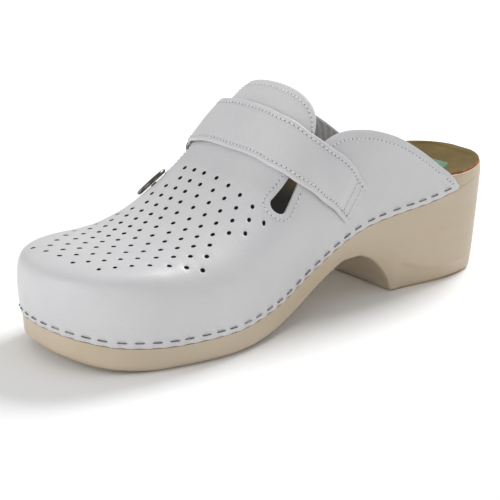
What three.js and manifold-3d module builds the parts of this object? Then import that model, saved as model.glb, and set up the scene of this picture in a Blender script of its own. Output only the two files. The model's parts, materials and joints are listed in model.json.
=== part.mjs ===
// A right-foot wooden clog with a stapled leather upper, as separate named solids.
// Millimetres. +X runs from heel to toe, +Y to the wearer's inner side, +Z up; the floor is z = 0.
import * as THREE from "three";
import Module from "manifold-3d";

const wasm = await Module();
wasm.setup();
const { Manifold, Mesh } = wasm;
const { cos, sin, min, max, abs, hypot, PI, sign, floor } = Math;

// ---------------------------------------------------------------- driving sizes
// Plan outline at the feather line: corners of a closed cubic B-spline, heel, inner side, toe, outer side.
const OUTLINE = [
  [-7, 0.5], [-3.5, 28], [22, 39], [53, 35.5], [95, 29.3], [138, 40], [172, 51.2], [206, 46.5], [240, 37],
  [255.5, 7.5], [245, -34], [216, -42.5], [169, -46.5], [131, -51.5], [96, -44], [61, -37], [31, -35],
  [4, -24],
];
const PLAN_LENGTH = 1; // scale of the plan along X
const PLAN_WIDTH = 1; // scale of the plan along Y
const FEATHER = [[-5, 54], [20, 49.4], [45, 44.4], [80, 39], [120, 25.2], [150, 15.5], [180, 11.8],
  [205, 11.5], [230, 13.5], [256, 19.5]]; // height of the leather's lower edge along X
const FOOTBED = [[-5, 57.2], [20, 56], [45, 55.6], [80, 51], [120, 36.8], [150, 27], [180, 23.2], [205, 22.8],
  [230, 25], [256, 30.5]]; // height of the footbed's rim along X
const HEEL_BREAST = 64; // X of the heel's front edge on the floor
const SOLE_BOTTOM = [[-6, 0], [HEEL_BREAST, 0], [HEEL_BREAST + 2.5, 6.5], [HEEL_BREAST + 7, 13.5],
  [HEEL_BREAST + 13, 19], [HEEL_BREAST + 21, 21.9], [94, 22], [105, 19], [117, 14.2], [133, 7.4], [150, 2.6],
  [168, 0.4], [180, 0], [212, 0], [232, 2], [256, 9.2]]; // underside along X
const HEEL_TAPER = 4.7; // how far the heel's foot stands inside the outline
const FORE_TAPER = 0.9; // and the forepart's lower edge
const FOOT_ROUND = 1.6; // height of the rounding at the sole's lower edge
const COVER_SEAT = 0.6; // the wood's rim stands this far below the footbed's rim
const DISH_HEEL = 3.4; // depth of the footbed's hollow at the heel
const DISH_TOE = 1.6; // and at the toe
const SPINE = [[20, 119], [80, 117], [100, 111], [120, 98], [140, 76.5], [160, 61.5], [180, 52], [200, 47.9],
  [216, 46.8]]; // height of the upper's ridge along X
const SPINE_Y_INSTEP = -6;
const SPINE_Y_TOE = 1;
const TOE_CENTRE = 208; // X where the ridge ends and the toe cap fans out
const FAN_SCALE = 48; // pattern length of the fan along A
const BOX_INSTEP = 3.0; // how square the cross-section is at the instep
const BOX_TOE = 5.2; // and at the toe
const BOX_CAP = 5.0; // squarer still round the front of the toe cap
const BULGE = 1.3; // how far the toe cap's wall leans out
const LEATHER = 1.8;
const LINING = 0.8;
const PUFF = 1.0; // toe stiffener
const GAP = 0.3; // clearance between layers
const SAG = 0.12; // what the flat facets of two layers can eat out of the gap between them
const WING_BACK = 24; // X of the wings' back tips
const WING_TOP = [[22, 1.04], [27, 0.985], [32, 0.925], [41, 0.85], [51.5, 0.77], [65, 0.69], [75, 0.65],
  [86, 0.615], [98.5, 0.575], [109.6, 0.555], [116, 0.545], [145, 0.535]]; // |B| of the wings' edge
const TAB_EDGE = [[0, 108.2], [0.2, 108.4], [0.36, 108], [0.42, 108.6], [0.46, 110.2], [0.49, 113],
  [0.505, 117], [0.515, 123], [0.53, 140]]; // A of the tab's back edge against |B|
const TEAR_CENTRE = [142.4, 0.529]; // round end of the slit, in the pattern
const TEAR_RADIUS = 4.5;
const SLIT_NECK = [124.6, 0.537];
const SLIT_NECK_HALF = 1.8;
const SLIT_MOUTH = [110, 0.53];
const SLIT_MOUTH_HALF = 2.0;
// The strap's two edges: A against |B|.
const STRAP_FRONT = [[0, 138.3], [0.33, 137.8], [0.5, 133.5], [0.7, 120], [0.82, 108], [0.91, 99.5]];
const STRAP_REAR = [[0, 121.2], [0.23, 121.2], [0.43, 117.6], [0.56, 109.8], [0.7, 96], [0.82, 86]];
const STRAP_SKEW = 0.045; // how far the end cuts lean across the pattern
const STRAP = 1.7;
const STRAP_LINING = 0.6;
const STRAP_SEWN_END = 0.865; // B of the end sewn to the inner wing
const STRAP_SEAM = 0.80; // B of the seam it bends about
const STRAP_FOLD = -0.36; // B where its closing end bends away
const STRAP_TIP = -0.875;
const STRAP_TIP_ROUND = 7; // length of the rounded tip
const FREE_CLEAR = 0.1; // least room between the strap and the frame's free bar
const STRAP_SIDE_CLEAR = 1.7; // between the strap's end and the frame's side bars
const BUCKLE_B = -0.70; // B of the buckle's hinge bar
const PATCH = 0.8; // hook and loop
const PATCH_FROM = 5; // distance of the patches past the bar
const PATCH_TO = 21;
const CHAPE = 1.4;
const CHAPE_FROM = 1.4; // distances past the bar
const CHAPE_TO = 24;
const CHAPE_MARGIN = 0.3; // how far the chape reaches past the keeper's feet
const CHAPE_SIDE = 6; // from the frame's side bars' centres to the chape's neck
const BAR_CLEAR = 0.3;
const KNUCKLE_R = 2.1;
const BAR_HEIGHT = 3.2; // bar's centre above the leather
const FRAME_LONG = 13.5; // from hinge bar to free bar, centres
const FRAME_WIDE = 29; // between the side bars' centres
const FRAME_R = 1.3;
const PRONG_R = 0.9;
const KEEPER_AT = 12; // distance of the keeper past the bar
const KEEPER_WIDE = 7;
const KEEPER_WALL = 1.1;
const KEEPER_SIDE_CLEAR = 1.0;
const PRONG_SLOT_WIDE = 3.8;
const PRONG_SLOT_BACK = 8; // the slot's reach from the bar, towards the free end of the frame
const PRONG_SLOT_TIP = 7.8; // and towards the strap's tip
const ORNAMENT_AT = [157, -0.49];
const ORNAMENT_LONG = 19;
const ORNAMENT_HIGH = 10;
const RIVET_R = 1.6;
const RIVET_LONG = 4.4;
const RIVET_CLEAR = 0.3;
const WASHER_R = 3.4;
const WASHER = 0.8;
// The ornament's profile: share of its radius, height.
const DISH = [[0, 0], [0.9, 0], [1, 0.9], [0.93, 1.7], [0.82, 1.9], [0.7, 1.2], [0, 1.0]];
const DISH_SEAT = 0.75; // the dish's back above the leather
const STAPLE_COUNT = 64; // places around the edge; every second one is a solid here
const STAPLE_CROWN = 5.2;
const STAPLE_WIRE = 0.7;
const STAPLE_LEG = 6.2;
const STAPLE_RISE = 2.9; // above the leather's lower edge
const STAPLE_CLEAR = 0.5; // a leg's hole is this much wider than the leg
const STAPLES_FROM = 34; // X where the row of staples starts and ends
const REBATE = LEATHER + 0.5; // ledge cut in the sole for the leather
const RIM_ROUND = 0.9;
const FOAM = 1.9;
const COVER = 1.3;
const TREAD = 1.9;
const TREAD_PROUD = 0.5; // how far a tread stands below the wood
const TREAD_SETBACK = 2; // the heel tread's pocket ends this far behind the breast
const HEEL_TREAD_INSET = 1.6; // inside the heel's foot
const FORE_TREAD = [150, 251.7]; // X of its ends
const FORE_TREAD_INSET = 4.2;
const COVER_INSET = 1.7; // at the bare heel
const COVER_FROM_REBATE = 2.1; // where the leather stands round it
const FOAM_INSET = 9;
const HEEL_PATCH = [14, 34]; // X of its ends
const HEEL_PATCH_INSET = 17;
const HEEL_PATCH_THICK = 0.4;

// ---------------------------------------------------------------- curves
const clamp = (x, a, b) => min(max(x, a), b);
const mix = (a, b, t) => a + (b - a) * t;
const smooth = (x) => {
  const t = clamp(x, 0, 1);
  return t * t * (3 - 2 * t);
};

// Monotone cubic through [x, y] knots, held flat past the ends.
function curve(knots) {
  const n = knots.length, h = [], d = [], m = [];
  for (let i = 0; i < n - 1; i++) {
    h[i] = knots[i + 1][0] - knots[i][0];
    d[i] = (knots[i + 1][1] - knots[i][1]) / h[i];
  }
  m[0] = d[0];
  m[n - 1] = d[n - 2];
  for (let i = 1; i < n - 1; i++) {
    if (d[i - 1] * d[i] <= 0) m[i] = 0;
    else {
      const w1 = 2 * h[i] + h[i - 1], w2 = h[i] + 2 * h[i - 1];
      m[i] = (w1 + w2) / (w1 / d[i - 1] + w2 / d[i]);
    }
  }
  return (x) => {
    if (x <= knots[0][0]) return knots[0][1];
    if (x >= knots[n - 1][0]) return knots[n - 1][1];
    let i = 0;
    while (x > knots[i + 1][0]) i++;
    const t = (x - knots[i][0]) / h[i], t2 = t * t, t3 = t2 * t;
    return (2 * t3 - 3 * t2 + 1) * knots[i][1] + (t3 - 2 * t2 + t) * h[i] * m[i] +
      (3 * t2 - 2 * t3) * knots[i + 1][1] + (t3 - t2) * h[i] * m[i + 1];
  };
}
const feather = curve(FEATHER), footbed = curve(FOOTBED);
const underside = curve(SOLE_BOTTOM), spineZ = curve(SPINE);
const wingTop = curve(WING_TOP), tabEdge = curve(TAB_EDGE);
const strapFront = curve(STRAP_FRONT), strapRear = curve(STRAP_REAR);

// The outline as a dense loop of {x, y, nx, ny, s}, heel back first, inner side first.
function outlineLoop(count) {
  const m = OUTLINE.length, pts = [];
  for (let k = 0; k < count; k++) {
    const t = (k / count) * m, i = floor(t), u = t - i;
    const w = [(1 - u) ** 3, 3 * u ** 3 - 6 * u * u + 4, -3 * u ** 3 + 3 * u * u + 3 * u + 1, u ** 3];
    let x = 0, y = 0;
    for (let j = 0; j < 4; j++) {
      const p = OUTLINE[(i + j - 1 + m) % m];
      x += (w[j] * p[0]) / 6;
      y += (w[j] * p[1]) / 6;
    }
    pts.push({ x: x * PLAN_LENGTH, y: y * PLAN_WIDTH });
  }
  pts.forEach((p, k) => {
    const a = pts[(k + count - 1) % count], b = pts[(k + 1) % count], l = hypot(b.x - a.x, b.y - a.y);
    p.nx = -(b.y - a.y) / l; // the loop runs clockwise seen from above
    p.ny = (b.x - a.x) / l;
  });
  return pts;
}
const LOOP = outlineLoop(2400);
const heelAt = LOOP.reduce((b, p, k) => (p.x < LOOP[b].x ? k : b), 0);
const toeAt = LOOP.reduce((b, p, k) => (p.x > LOOP[b].x ? k : b), 0);
const run = (a, b) => Array.from({ length: ((b - a + 2400) % 2400) + 1 }, (_, k) => LOOP[(a + k) % 2400]);
const INNER = run(heelAt, toeAt), OUTER = run(toeAt, heelAt).reverse();

// Linear look-up of a point on one side of the outline by its X.
function sideAt(side, x) {
  let lo = 0, hi = side.length - 1;
  while (hi - lo > 1) {
    const mid = (lo + hi) >> 1;
    if (side[mid].x <= x) lo = mid;
    else hi = mid;
  }
  const t = clamp((x - side[lo].x) / (side[hi].x - side[lo].x || 1), 0, 1), a = side[lo], b = side[hi];
  return { x, y: mix(a.y, b.y, t), nx: mix(a.nx, b.nx, t), ny: mix(a.ny, b.ny, t) };
}
// The toe arc from the inner side at TOE_CENTRE round to the outer side.
const TOE_ARC = (() => {
  const a = INNER.filter((p) => p.x >= TOE_CENTRE * PLAN_LENGTH);
  const b = OUTER.filter((p) => p.x >= TOE_CENTRE * PLAN_LENGTH).reverse();
  const arc = [sideAt(INNER, TOE_CENTRE * PLAN_LENGTH), ...a, ...b, sideAt(OUTER, TOE_CENTRE * PLAN_LENGTH)];
  let s = 0;
  arc.forEach((p, k) => (p.s = k ? (s += hypot(p.x - arc[k - 1].x, p.y - arc[k - 1].y)) : 0));
  return arc;
})();
function toeAtShare(share) {
  const s = clamp(share, 0, 1) * TOE_ARC.at(-1).s;
  let k = 1;
  while (k < TOE_ARC.length - 1 && TOE_ARC[k].s < s) k++;
  const a = TOE_ARC[k - 1], b = TOE_ARC[k], t = (s - a.s) / (b.s - a.s || 1);
  return { x: mix(a.x, b.x, t), y: mix(a.y, b.y, t), nx: mix(a.nx, b.nx, t), ny: mix(a.ny, b.ny, t) };
}

// ---------------------------------------------------------------- the upper's surface
// Pattern (A, B): A runs along X, B is 0 on the ridge, +1 on the inner feather line, -1 on the outer one.
// Past TOE_CENTRE the pattern is a half disc. Each line from feather to ridge is a superellipse.
function vamp(a, b) {
  const fan = a > TOE_CENTRE, u = (a - TOE_CENTRE) / FAN_SCALE;
  const v = 1 - (fan ? hypot(u, b) : abs(b));
  const f = fan ? toeAtShare(Math.atan2(u, b) / PI) : sideAt(b >= 0 ? INNER : OUTER, a * PLAN_LENGTH);
  const xs = f.x / PLAN_LENGTH, kx = fan ? TOE_CENTRE : a;
  const n = mix(BOX_INSTEP, BOX_TOE, smooth((xs - 110) / 90)) + BOX_CAP * smooth((xs - 190) / 50);
  const ky = mix(SPINE_Y_INSTEP, SPINE_Y_TOE, smooth((kx - 110) / 90)) * PLAN_WIDTH;
  const c = abs(cos((v * PI) / 2)), s = abs(sin((v * PI) / 2)), rho = (c ** n + s ** n) ** (-1 / n);
  const r = 1 - rho * c, q = rho * s, out = BULGE * 4 * q * (1 - q), z0 = feather(xs);
  return new THREE.Vector3(
    f.x + (kx * PLAN_LENGTH - f.x) * r + f.nx * out,
    f.y + (ky - f.y) * r + f.ny * out,
    z0 + (spineZ(kx) - z0) * q,
  );
}
// Outward normal from central differences in the pattern, kept inside it.
function vampNormal(a, b) {
  const ea = 0.4, eb = 0.006, bb = clamp(b, -0.99, 0.99);
  const r = a > TOE_CENTRE ? hypot((a - TOE_CENTRE) / FAN_SCALE, bb) : 0, k = r > 0.985 ? 0.985 / r : 1;
  const aa = a > TOE_CENTRE ? TOE_CENTRE + (a - TOE_CENTRE) * k : a, bc = bb * (a > TOE_CENTRE ? k : 1);
  const da = vamp(aa + ea, bc).sub(vamp(aa - ea, bc)), db = vamp(aa, bc + eb).sub(vamp(aa, bc - eb));
  return da.cross(db).normalize();
}
const onVamp = (a, b, lift) => vamp(a, b).addScaledVector(vampNormal(a, b), lift);

// ---------------------------------------------------------------- solids from meshes
const root = new THREE.Group();
function material(color, roughness, metalness = 0) {
  return new THREE.MeshStandardMaterial({ color, roughness, metalness });
}
const WOOD = material("#b9ab92", 0.55), RUBBER = material("#a89a82", 0.85);
const FOAM_MAT = material("#cfc7b4", 0.95);
const COVER_MAT = material("#7d6a3c", 0.85), GREEN = material("#6e967d", 0.8);
const WHITE = material("#d3d4d8", 0.45), GREY = material("#868686", 0.95), STIFF = material("#c8bfa8", 0.8);
const HOOK = material("#e4e4e4", 0.9), STEEL = material("#9a9a9e", 0.35, 1);
const NICKEL = material("#a8a49c", 0.25, 1);

// One solid from shared vertices; triangles that have collapsed are left out.
class Body {
  constructor() {
    this.pos = [];
    this.idx = [];
    this.seen = new Map();
  }
  vertex(p) {
    const key = `${Math.round(p.x * 2e3)},${Math.round(p.y * 2e3)},${Math.round(p.z * 2e3)}`;
    if (!this.seen.has(key)) {
      this.seen.set(key, this.pos.length / 3);
      this.pos.push(p.x, p.y, p.z);
    }
    return this.seen.get(key);
  }
  tri(a, b, c) {
    if (a !== b && b !== c && c !== a) this.idx.push(a, b, c);
  }
  quad(a, b, c, d) {
    this.tri(a, b, c);
    this.tri(a, c, d);
  }
  manifold() {
    return new Manifold(new Mesh({
      numProp: 3, vertProperties: new Float32Array(this.pos), triVerts: new Uint32Array(this.idx),
    }));
  }
}
function fromGeometry(geometry) {
  const g = geometry.index ? geometry.toNonIndexed() : geometry, p = g.attributes.position, body = new Body();
  for (let i = 0; i < p.count; i += 3)
    body.tri(...[0, 1, 2].map((k) => body.vertex(new THREE.Vector3().fromBufferAttribute(p, i + k))));
  return body.manifold();
}
const pieces = [];
const add = (name, solid, mat) => pieces.push({ name, solid, mat });
function addMesh({ name, solid, mat }, middle) {
  const m = solid.translate(middle).getMesh(), g = new THREE.BufferGeometry();
  g.setAttribute("position", new THREE.BufferAttribute(new Float32Array(m.vertProperties), 3));
  g.setIndex(new THREE.BufferAttribute(new Uint32Array(m.triVerts), 1));
  g.computeVertexNormals();
  const mesh = new THREE.Mesh(g, mat);
  mesh.name = name;
  root.add(mesh);
}

// Pattern triangles of the whole upper: columns round the feather line, rows from feather to ridge.
function patternGrid(aList, rows, fanSteps) {
  const pts = [], tris = [], cols = [];
  const seen = new Map();
  const put = (a, b) => {
    const key = `${a.toFixed(4)},${b.toFixed(5)}`;
    if (!seen.has(key)) seen.set(key, pts.push([a, b]) - 1);
    return seen.get(key);
  };
  for (const a of aList) cols.push(rows.map((r) => put(a, -r)));
  for (let k = 1; k < fanSteps; k++) {
    const th = PI * (1 - k / fanSteps);
    cols.push(rows.map((r) => put(TOE_CENTRE + FAN_SCALE * r * sin(th), r * cos(th))));
  }
  for (const a of [...aList].reverse()) cols.push(rows.map((r) => put(a, r)));
  for (let k = 0; k + 1 < cols.length; k++)
    for (let j = 0; j + 1 < rows.length; j++) {
      const [p, q, r, s] = [cols[k][j], cols[k + 1][j], cols[k + 1][j + 1], cols[k][j + 1]];
      if (p !== q && q !== r && p !== r) tris.push([p, q, r]);
      if (p !== r && r !== s && p !== s) tris.push([p, r, s]);
    }
  return { pts, tris };
}
// Keeps the part of a triangulated pattern where keep(a, b) > 0; vertices near the edge move onto it.
function clip({ pts, tris }, keep) {
  pts = pts.map((p) => [...p]);
  let f = pts.map((p) => keep(...p));
  const crossing = (i, j) => {
    let lo = 0, hi = 1;
    for (let k = 0; k < 30; k++) {
      const t = (lo + hi) / 2, v = keep(mix(pts[i][0], pts[j][0], t), mix(pts[i][1], pts[j][1], t));
      if (v > 0 === f[i] > 0) lo = t;
      else hi = t;
    }
    return (lo + hi) / 2;
  };
  const edges = new Map();
  for (const t of tris)
    for (const [i, j] of [[t[0], t[1]], [t[1], t[2]], [t[2], t[0]]])
      edges.set(`${min(i, j)},${max(i, j)}`, [min(i, j), max(i, j)]);
  const moved = new Map();
  for (const [i, j] of edges.values())
    if (f[i] * f[j] < 0) {
      const t = crossing(i, j), near = t < 0.28 ? i : t > 0.72 ? j : -1;
      if (near < 0) continue;
      const d = near === i ? t : 1 - t;
      if (!moved.has(near) || moved.get(near).d > d)
        moved.set(near, { d, p: [mix(pts[i][0], pts[j][0], t), mix(pts[i][1], pts[j][1], t)] });
    }
  for (const [i, m] of moved) {
    pts[i] = m.p;
    f[i] = 0;
  }
  const cut = new Map(), out = [];
  const at = (i, j) => {
    const key = `${min(i, j)},${max(i, j)}`;
    if (!cut.has(key)) {
      const a = min(i, j), b = max(i, j), t = crossing(a, b);
      cut.set(key, pts.push([mix(pts[a][0], pts[b][0], t), mix(pts[a][1], pts[b][1], t)]) - 1);
    }
    return cut.get(key);
  };
  for (const t of tris) {
    const poly = [];
    if (t.every((i) => f[i] <= 0)) continue;
    for (let k = 0; k < 3; k++) {
      const i = t[k], j = t[(k + 1) % 3];
      if (f[i] >= 0) poly.push(i);
      if (f[i] * f[j] < 0) poly.push(at(i, j));
    }
    for (let k = 1; k + 1 < poly.length; k++) out.push([poly[0], poly[k], poly[k + 1]]);
  }
  return { pts, tris: out };
}
// A closed sheet over a triangulated pattern, between two functions of (a, b).
function sheet({ pts, tris }, top, bottom) {
  const body = new Body(), hi = [], lo = [], edges = new Map();
  const used = new Set(tris.flat());
  for (const i of used) {
    hi[i] = body.vertex(top(...pts[i]));
    lo[i] = body.vertex(bottom(...pts[i]));
  }
  for (const [i, j, k] of tris) {
    body.tri(hi[i], hi[j], hi[k]);
    body.tri(lo[k], lo[j], lo[i]);
    for (const [p, q] of [[i, j], [j, k], [k, i]]) {
      const back = `${q},${p}`;
      if (edges.has(back)) edges.delete(back);
      else edges.set(`${p},${q}`, [p, q]);
    }
  }
  for (const [p, q] of edges.values()) body.quad(hi[p], lo[p], lo[q], hi[q]);
  const solid = body.manifold();
  if (solid.volume() > 0) return solid;
  for (let t = 0; t < body.idx.length; t += 3)
    [body.idx[t + 1], body.idx[t + 2]] = [body.idx[t + 2], body.idx[t + 1]];
  return body.manifold();
}

// ---------------------------------------------------------------- the upper
const RISE = 90; // mm of leather per unit of B, for distances measured in the pattern
const slope = (a) => (a > 112 && a < 170 ? 1.25 : 1.05);
// Beside the tab the pattern's two directions aren't square to each other. These are flat places there, in mm.
const flatX = (a, b) => a * 1.25 + b * 58;
const flatY = (b) => b * 81;
function capsule(a, b, p, rp, q, rq) {
  const px = flatX(...p), py = flatY(p[1]), qx = flatX(...q), qy = flatY(q[1]), x = flatX(a, b), y = flatY(b);
  const t = clamp(((x - px) * (qx - px) + (y - py) * (qy - py)) / ((qx - px) ** 2 + (qy - py) ** 2), 0, 1);
  return hypot(x - mix(px, qx, t), y - mix(py, qy, t)) - mix(rp, rq, t);
}
// Signed distance, positive inside the leather: the foot opening, and a slit with a round end each side.
function leatherKeep(a, b, inset = 0) {
  const m = abs(b);
  const slit = min(
    capsule(a, m, TEAR_CENTRE, TEAR_RADIUS, SLIT_NECK, SLIT_NECK_HALF),
    capsule(a, m, SLIT_NECK, SLIT_NECK_HALF, SLIT_MOUTH, SLIT_MOUTH_HALF),
  );
  const opening = max((a - tabEdge(m)) * slope(a), (m - wingTop(a)) * RISE);
  return min(slit, opening) - inset;
}
const A_STEPS = (from, n) => Array.from({ length: n + 1 }, (_, k) => mix(from, TOE_CENTRE, k / n));
const ROWS = [1, 0.93, 0.84, 0.74, 0.65, 0.585, 0.53, 0.47, 0.38, 0.27, 0.14, 0];
// Depth of the lining's face: deeper where the toe stiffener and the tab's padding lie in between.
const PAD = 1.6;
const puffHere = (a, b) => smooth((a - 196) / 8);
const padHere = (a, b) => smooth((140 - a) / 8) * smooth((0.5 - abs(b)) / 0.08);
const liningDepth = (a, b) =>
  LEATHER + GAP + SAG + (PUFF + GAP + SAG) * puffHere(a, b) + (PAD + GAP) * padHere(a, b);

function upperLeather() {
  return sheet(
    clip(patternGrid([WING_BACK, ...A_STEPS(31, 23)], ROWS, 17), (a, b) => leatherKeep(a, b)),
    (a, b) => onVamp(a, b, 0),
    (a, b) => onVamp(a, b, -LEATHER),
  );
}
// The lining stops just above the sole's rim and a little inside the leather's edges.
function liningKeep(a, b) {
  const p = vamp(a, b), x = p.x / PLAN_LENGTH;
  return min(leatherKeep(a, b, 0.9), p.z - footbed(x) - 1.2);
}
function upperLining() {
  const rows = [0.92, 0.82, 0.72, 0.63, 0.575, 0.53, 0.46, 0.36, 0.2, 0];
  return sheet(
    clip(patternGrid(A_STEPS(31, 21), rows, 15), liningKeep),
    (a, b) => onVamp(a, b, -liningDepth(a, b)),
    (a, b) => onVamp(a, b, -liningDepth(a, b) - LINING),
  );
}
function toePuff() {
  const rows = [0.9, 0.8, 0.7, 0.6, 0.52, 0.44, 0.34];
  const keep = (a, b) => {
    const p = vamp(a, b);
    return min(p.z - footbed(p.x / PLAN_LENGTH) - 1.6, (a - 206) * 1.0);
  };
  const grid = patternGrid([202, TOE_CENTRE], rows, 16);
  return sheet(
    clip(grid, keep),
    (a, b) => onVamp(a, b, -LEATHER - GAP - SAG),
    (a, b) => onVamp(a, b, -LEATHER - GAP - PUFF),
  );
}
function tabPadding() {
  const rows = [0.38, 0.3, 0.2, 0.1, 0];
  const pts = [], tris = [], as = [111.5, 116, 121, 125, 129];
  const bs = [...rows.map((r) => -r), ...rows.slice(0, -1).reverse()];
  for (const a of as) for (const b of bs) pts.push([a, b]);
  for (let i = 0; i + 1 < as.length; i++)
    for (let j = 0; j + 1 < bs.length; j++) {
      const p = i * bs.length + j;
      tris.push([p, p + bs.length, p + bs.length + 1], [p, p + bs.length + 1, p + 1]);
    }
  return sheet({ pts, tris }, (a, b) => onVamp(a, b, -LEATHER - GAP - 2 * SAG),
    (a, b) => onVamp(a, b, -LEATHER - GAP - PAD + SAG));
}

// ---------------------------------------------------------------- the sole
// One ring round the outline, `inset(x)` inside it, at height z(x, y).
function ring(count, inset, z) {
  const pts = [];
  for (let k = 0; k < count; k++) {
    const half = count / 2, side = k <= half ? INNER : OUTER, t = k <= half ? k / half : (count - k) / half;
    const p = side[Math.round(t * (side.length - 1))], x = p.x / PLAN_LENGTH, e = inset(x);
    const px = p.x - p.nx * e, py = p.y - p.ny * e;
    pts.push(new THREE.Vector3(px, py, z(px / PLAN_LENGTH, py)));
  }
  return pts;
}
// Closed solid from rings bottom to top; both ends are closed by strips across the sole.
function ringSolid(rings, across, bottomZ, topZ) {
  const body = new Body(), n = rings[0].length, half = n / 2;
  const id = rings.map((r) => r.map((p) => body.vertex(p)));
  for (let j = 0; j + 1 < rings.length; j++)
    for (let k = 0; k < n; k++) {
      const m = (k + 1) % n;
      body.quad(id[j][k], id[j + 1][k], id[j + 1][m], id[j][m]);
    }
  const cap = (r, ids, z, up) => {
    const rows = [];
    for (let k = 0; k <= half; k++) {
      const p = r[k], q = r[(n - k) % n], row = [];
      const steps = k === 0 || k === half ? 0 : across;
      for (let j = 0; j <= steps; j++) {
        if (j === 0) row.push(ids[k]);
        else if (j === steps) row.push(ids[(n - k) % n]);
        else {
          const w = p.clone().lerp(q, j / steps);
          w.z = z(w.x / PLAN_LENGTH, w.y);
          row.push(body.vertex(w));
        }
      }
      rows.push(row);
    }
    for (let k = 0; k < half; k++) {
      const a = rows[k], b = rows[k + 1], m = max(a.length, b.length) - 1;
      for (let j = 0; j < m; j++) {
        const g = (row, i) => row[min(i, row.length - 1)];
        const quad = [g(a, j), g(b, j), g(b, j + 1), g(a, j + 1)];
        if (up) quad.reverse();
        body.quad(...quad);
      }
    }
  };
  cap(rings[0], id[0], bottomZ, false);
  cap(rings.at(-1), id.at(-1), topZ, true);
  const solid = body.manifold();
  if (solid.volume() > 0) return solid;
  for (let t = 0; t < body.idx.length; t += 3)
    [body.idx[t + 1], body.idx[t + 2]] = [body.idx[t + 2], body.idx[t + 1]];
  return body.manifold();
}
// How far the footbed dips below its rim at a plan point.
function dip(x, y) {
  const station = clamp(x, -4, 252) * PLAN_LENGTH;
  const a = sideAt(INNER, station).y, b = sideAt(OUTER, station).y;
  const u = clamp((2 * y - a - b) / (a - b), -1, 1);
  const deep = mix(DISH_HEEL, DISH_TOE, smooth((x - 60) / 70));
  return deep * (1 - u * u) * smooth((x + 4) / 24) * smooth((252 - x) / 26);
}
const woodTop = (x, y) => footbed(x) - COVER_SEAT - dip(x, y);
const heelShare = (x) => smooth((112 - x) / 40);
const bottomInset = (x) => mix(FORE_TAPER, HEEL_TAPER, heelShare(x));
const rebateShare = (x) => smooth((x - WING_BACK + 7) / 5);
const woodBottom = (x) => underside(x) + TREAD_PROUD;
function woodenSole() {
  const n = 92, ledge = (x) => feather(x) - 0.35;
  const sideInset = (x, t) => mix(bottomInset(x), 0.5, t ** 0.8);
  const at = (t) => (x) => mix(woodBottom(x), ledge(x), t);
  const rings = [
    ring(n, (x) => bottomInset(x) + 2.2, (x) => woodBottom(x)),
    ring(n, (x) => bottomInset(x) + 0.3, (x) => woodBottom(x) + FOOT_ROUND),
    ring(n, (x) => sideInset(x, 0.5), at(0.5)),
    ring(n, (x) => 0.5, (x) => ledge(x)),
    ring(n, (x) => mix(0.55, REBATE, rebateShare(x)), (x) => ledge(x) + 0.02),
    ring(n, (x) => mix(0.7, REBATE, rebateShare(x)), (x) => footbed(x) - COVER_SEAT - RIM_ROUND),
    ring(n, (x) => mix(0.7, REBATE, rebateShare(x)) + RIM_ROUND, (x) => footbed(x) - COVER_SEAT),
  ];
  return ringSolid(rings, 2, (x) => woodBottom(x), (x) => footbed(x) - COVER_SEAT);
}
// A plan slab between two X stations, `inset` inside the outline, between two height functions.
function planSlab(x0, x1, inset, low, high, steps, across, roundEnds = [true, true]) {
  const e = (x) => (typeof inset === "number" ? inset : inset(x / PLAN_LENGTH));
  const off = (side) => side.map((p) => ({ x: p.x - p.nx * e(p.x), y: p.y - p.ny * e(p.x) }))
    .filter((p, k, all) => k === 0 || p.x > all[k - 1].x);
  const inner = off(INNER), outer = off(OUTER);
  const lo = max(x0 * PLAN_LENGTH, inner[0].x, outer[0].x) + 0.01;
  const hi = min(x1 * PLAN_LENGTH, inner.at(-1).x, outer.at(-1).x) - 0.01;
  const at = (side, x) => {
    let k = 1;
    while (k < side.length - 1 && side[k].x < x) k++;
    return mix(side[k - 1].y, side[k].y, clamp((x - side[k - 1].x) / (side[k].x - side[k - 1].x), 0, 1));
  };
  const pts = [], tris = [];
  for (let i = 0; i <= steps; i++) {
    let t = i / steps;
    if (roundEnds[0] && roundEnds[1]) t = (1 - cos(PI * t)) / 2;
    else if (roundEnds[1]) t = sin((PI / 2) * t);
    else if (roundEnds[0]) t = 1 - cos((PI / 2) * t);
    const x = mix(lo, hi, t);
    for (let j = 0; j <= across; j++) pts.push([x, mix(at(outer, x), at(inner, x), j / across)]);
  }
  const w = across + 1;
  for (let i = 0; i < steps; i++)
    for (let j = 0; j < across; j++) {
      const p = i * w + j;
      tris.push([p, p + w, p + w + 1], [p, p + w + 1, p + 1]);
    }
  const v = (f) => (x, y) => new THREE.Vector3(x, y, f(x / PLAN_LENGTH, y));
  return sheet({ pts, tris }, v(high), v(low));
}
const foamBase = (x, y) => woodTop(x, y) - FOAM;
const coverTop = (x, y) => woodTop(x, y) + GAP + COVER;

// ---------------------------------------------------------------- the strap
// Strap point at pattern height b, across w in [-1 rear, +1 front], lifted off the leather.
function strapPoint(b, w) {
  const skew = STRAP_SKEW * smooth(abs(b) / 0.8) * sign(b), bf = b + skew, br = b - skew;
  const t = (w + 1) / 2;
  return [mix(strapRear(abs(br)), strapFront(abs(bf)), t), mix(br, bf, t)];
}
const STRAP_PATH = (() => {
  const path = [];
  let s = 0, last = null;
  for (let b = STRAP_SEWN_END; b >= -0.96; b -= 0.005) {
    const [a, bb] = strapPoint(b, 0), p = onVamp(a, bb, 2);
    if (last) s += p.distanceTo(last);
    path.push([b, s]);
    last = p;
  }
  return path;
})();
const sOfB = (b) => {
  let k = 1;
  while (k < STRAP_PATH.length - 1 && STRAP_PATH[k][0] > b) k++;
  const [b0, s0] = STRAP_PATH[k - 1], [b1, s1] = STRAP_PATH[k];
  return mix(s0, s1, (b - b0) / (b1 - b0));
};
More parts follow.
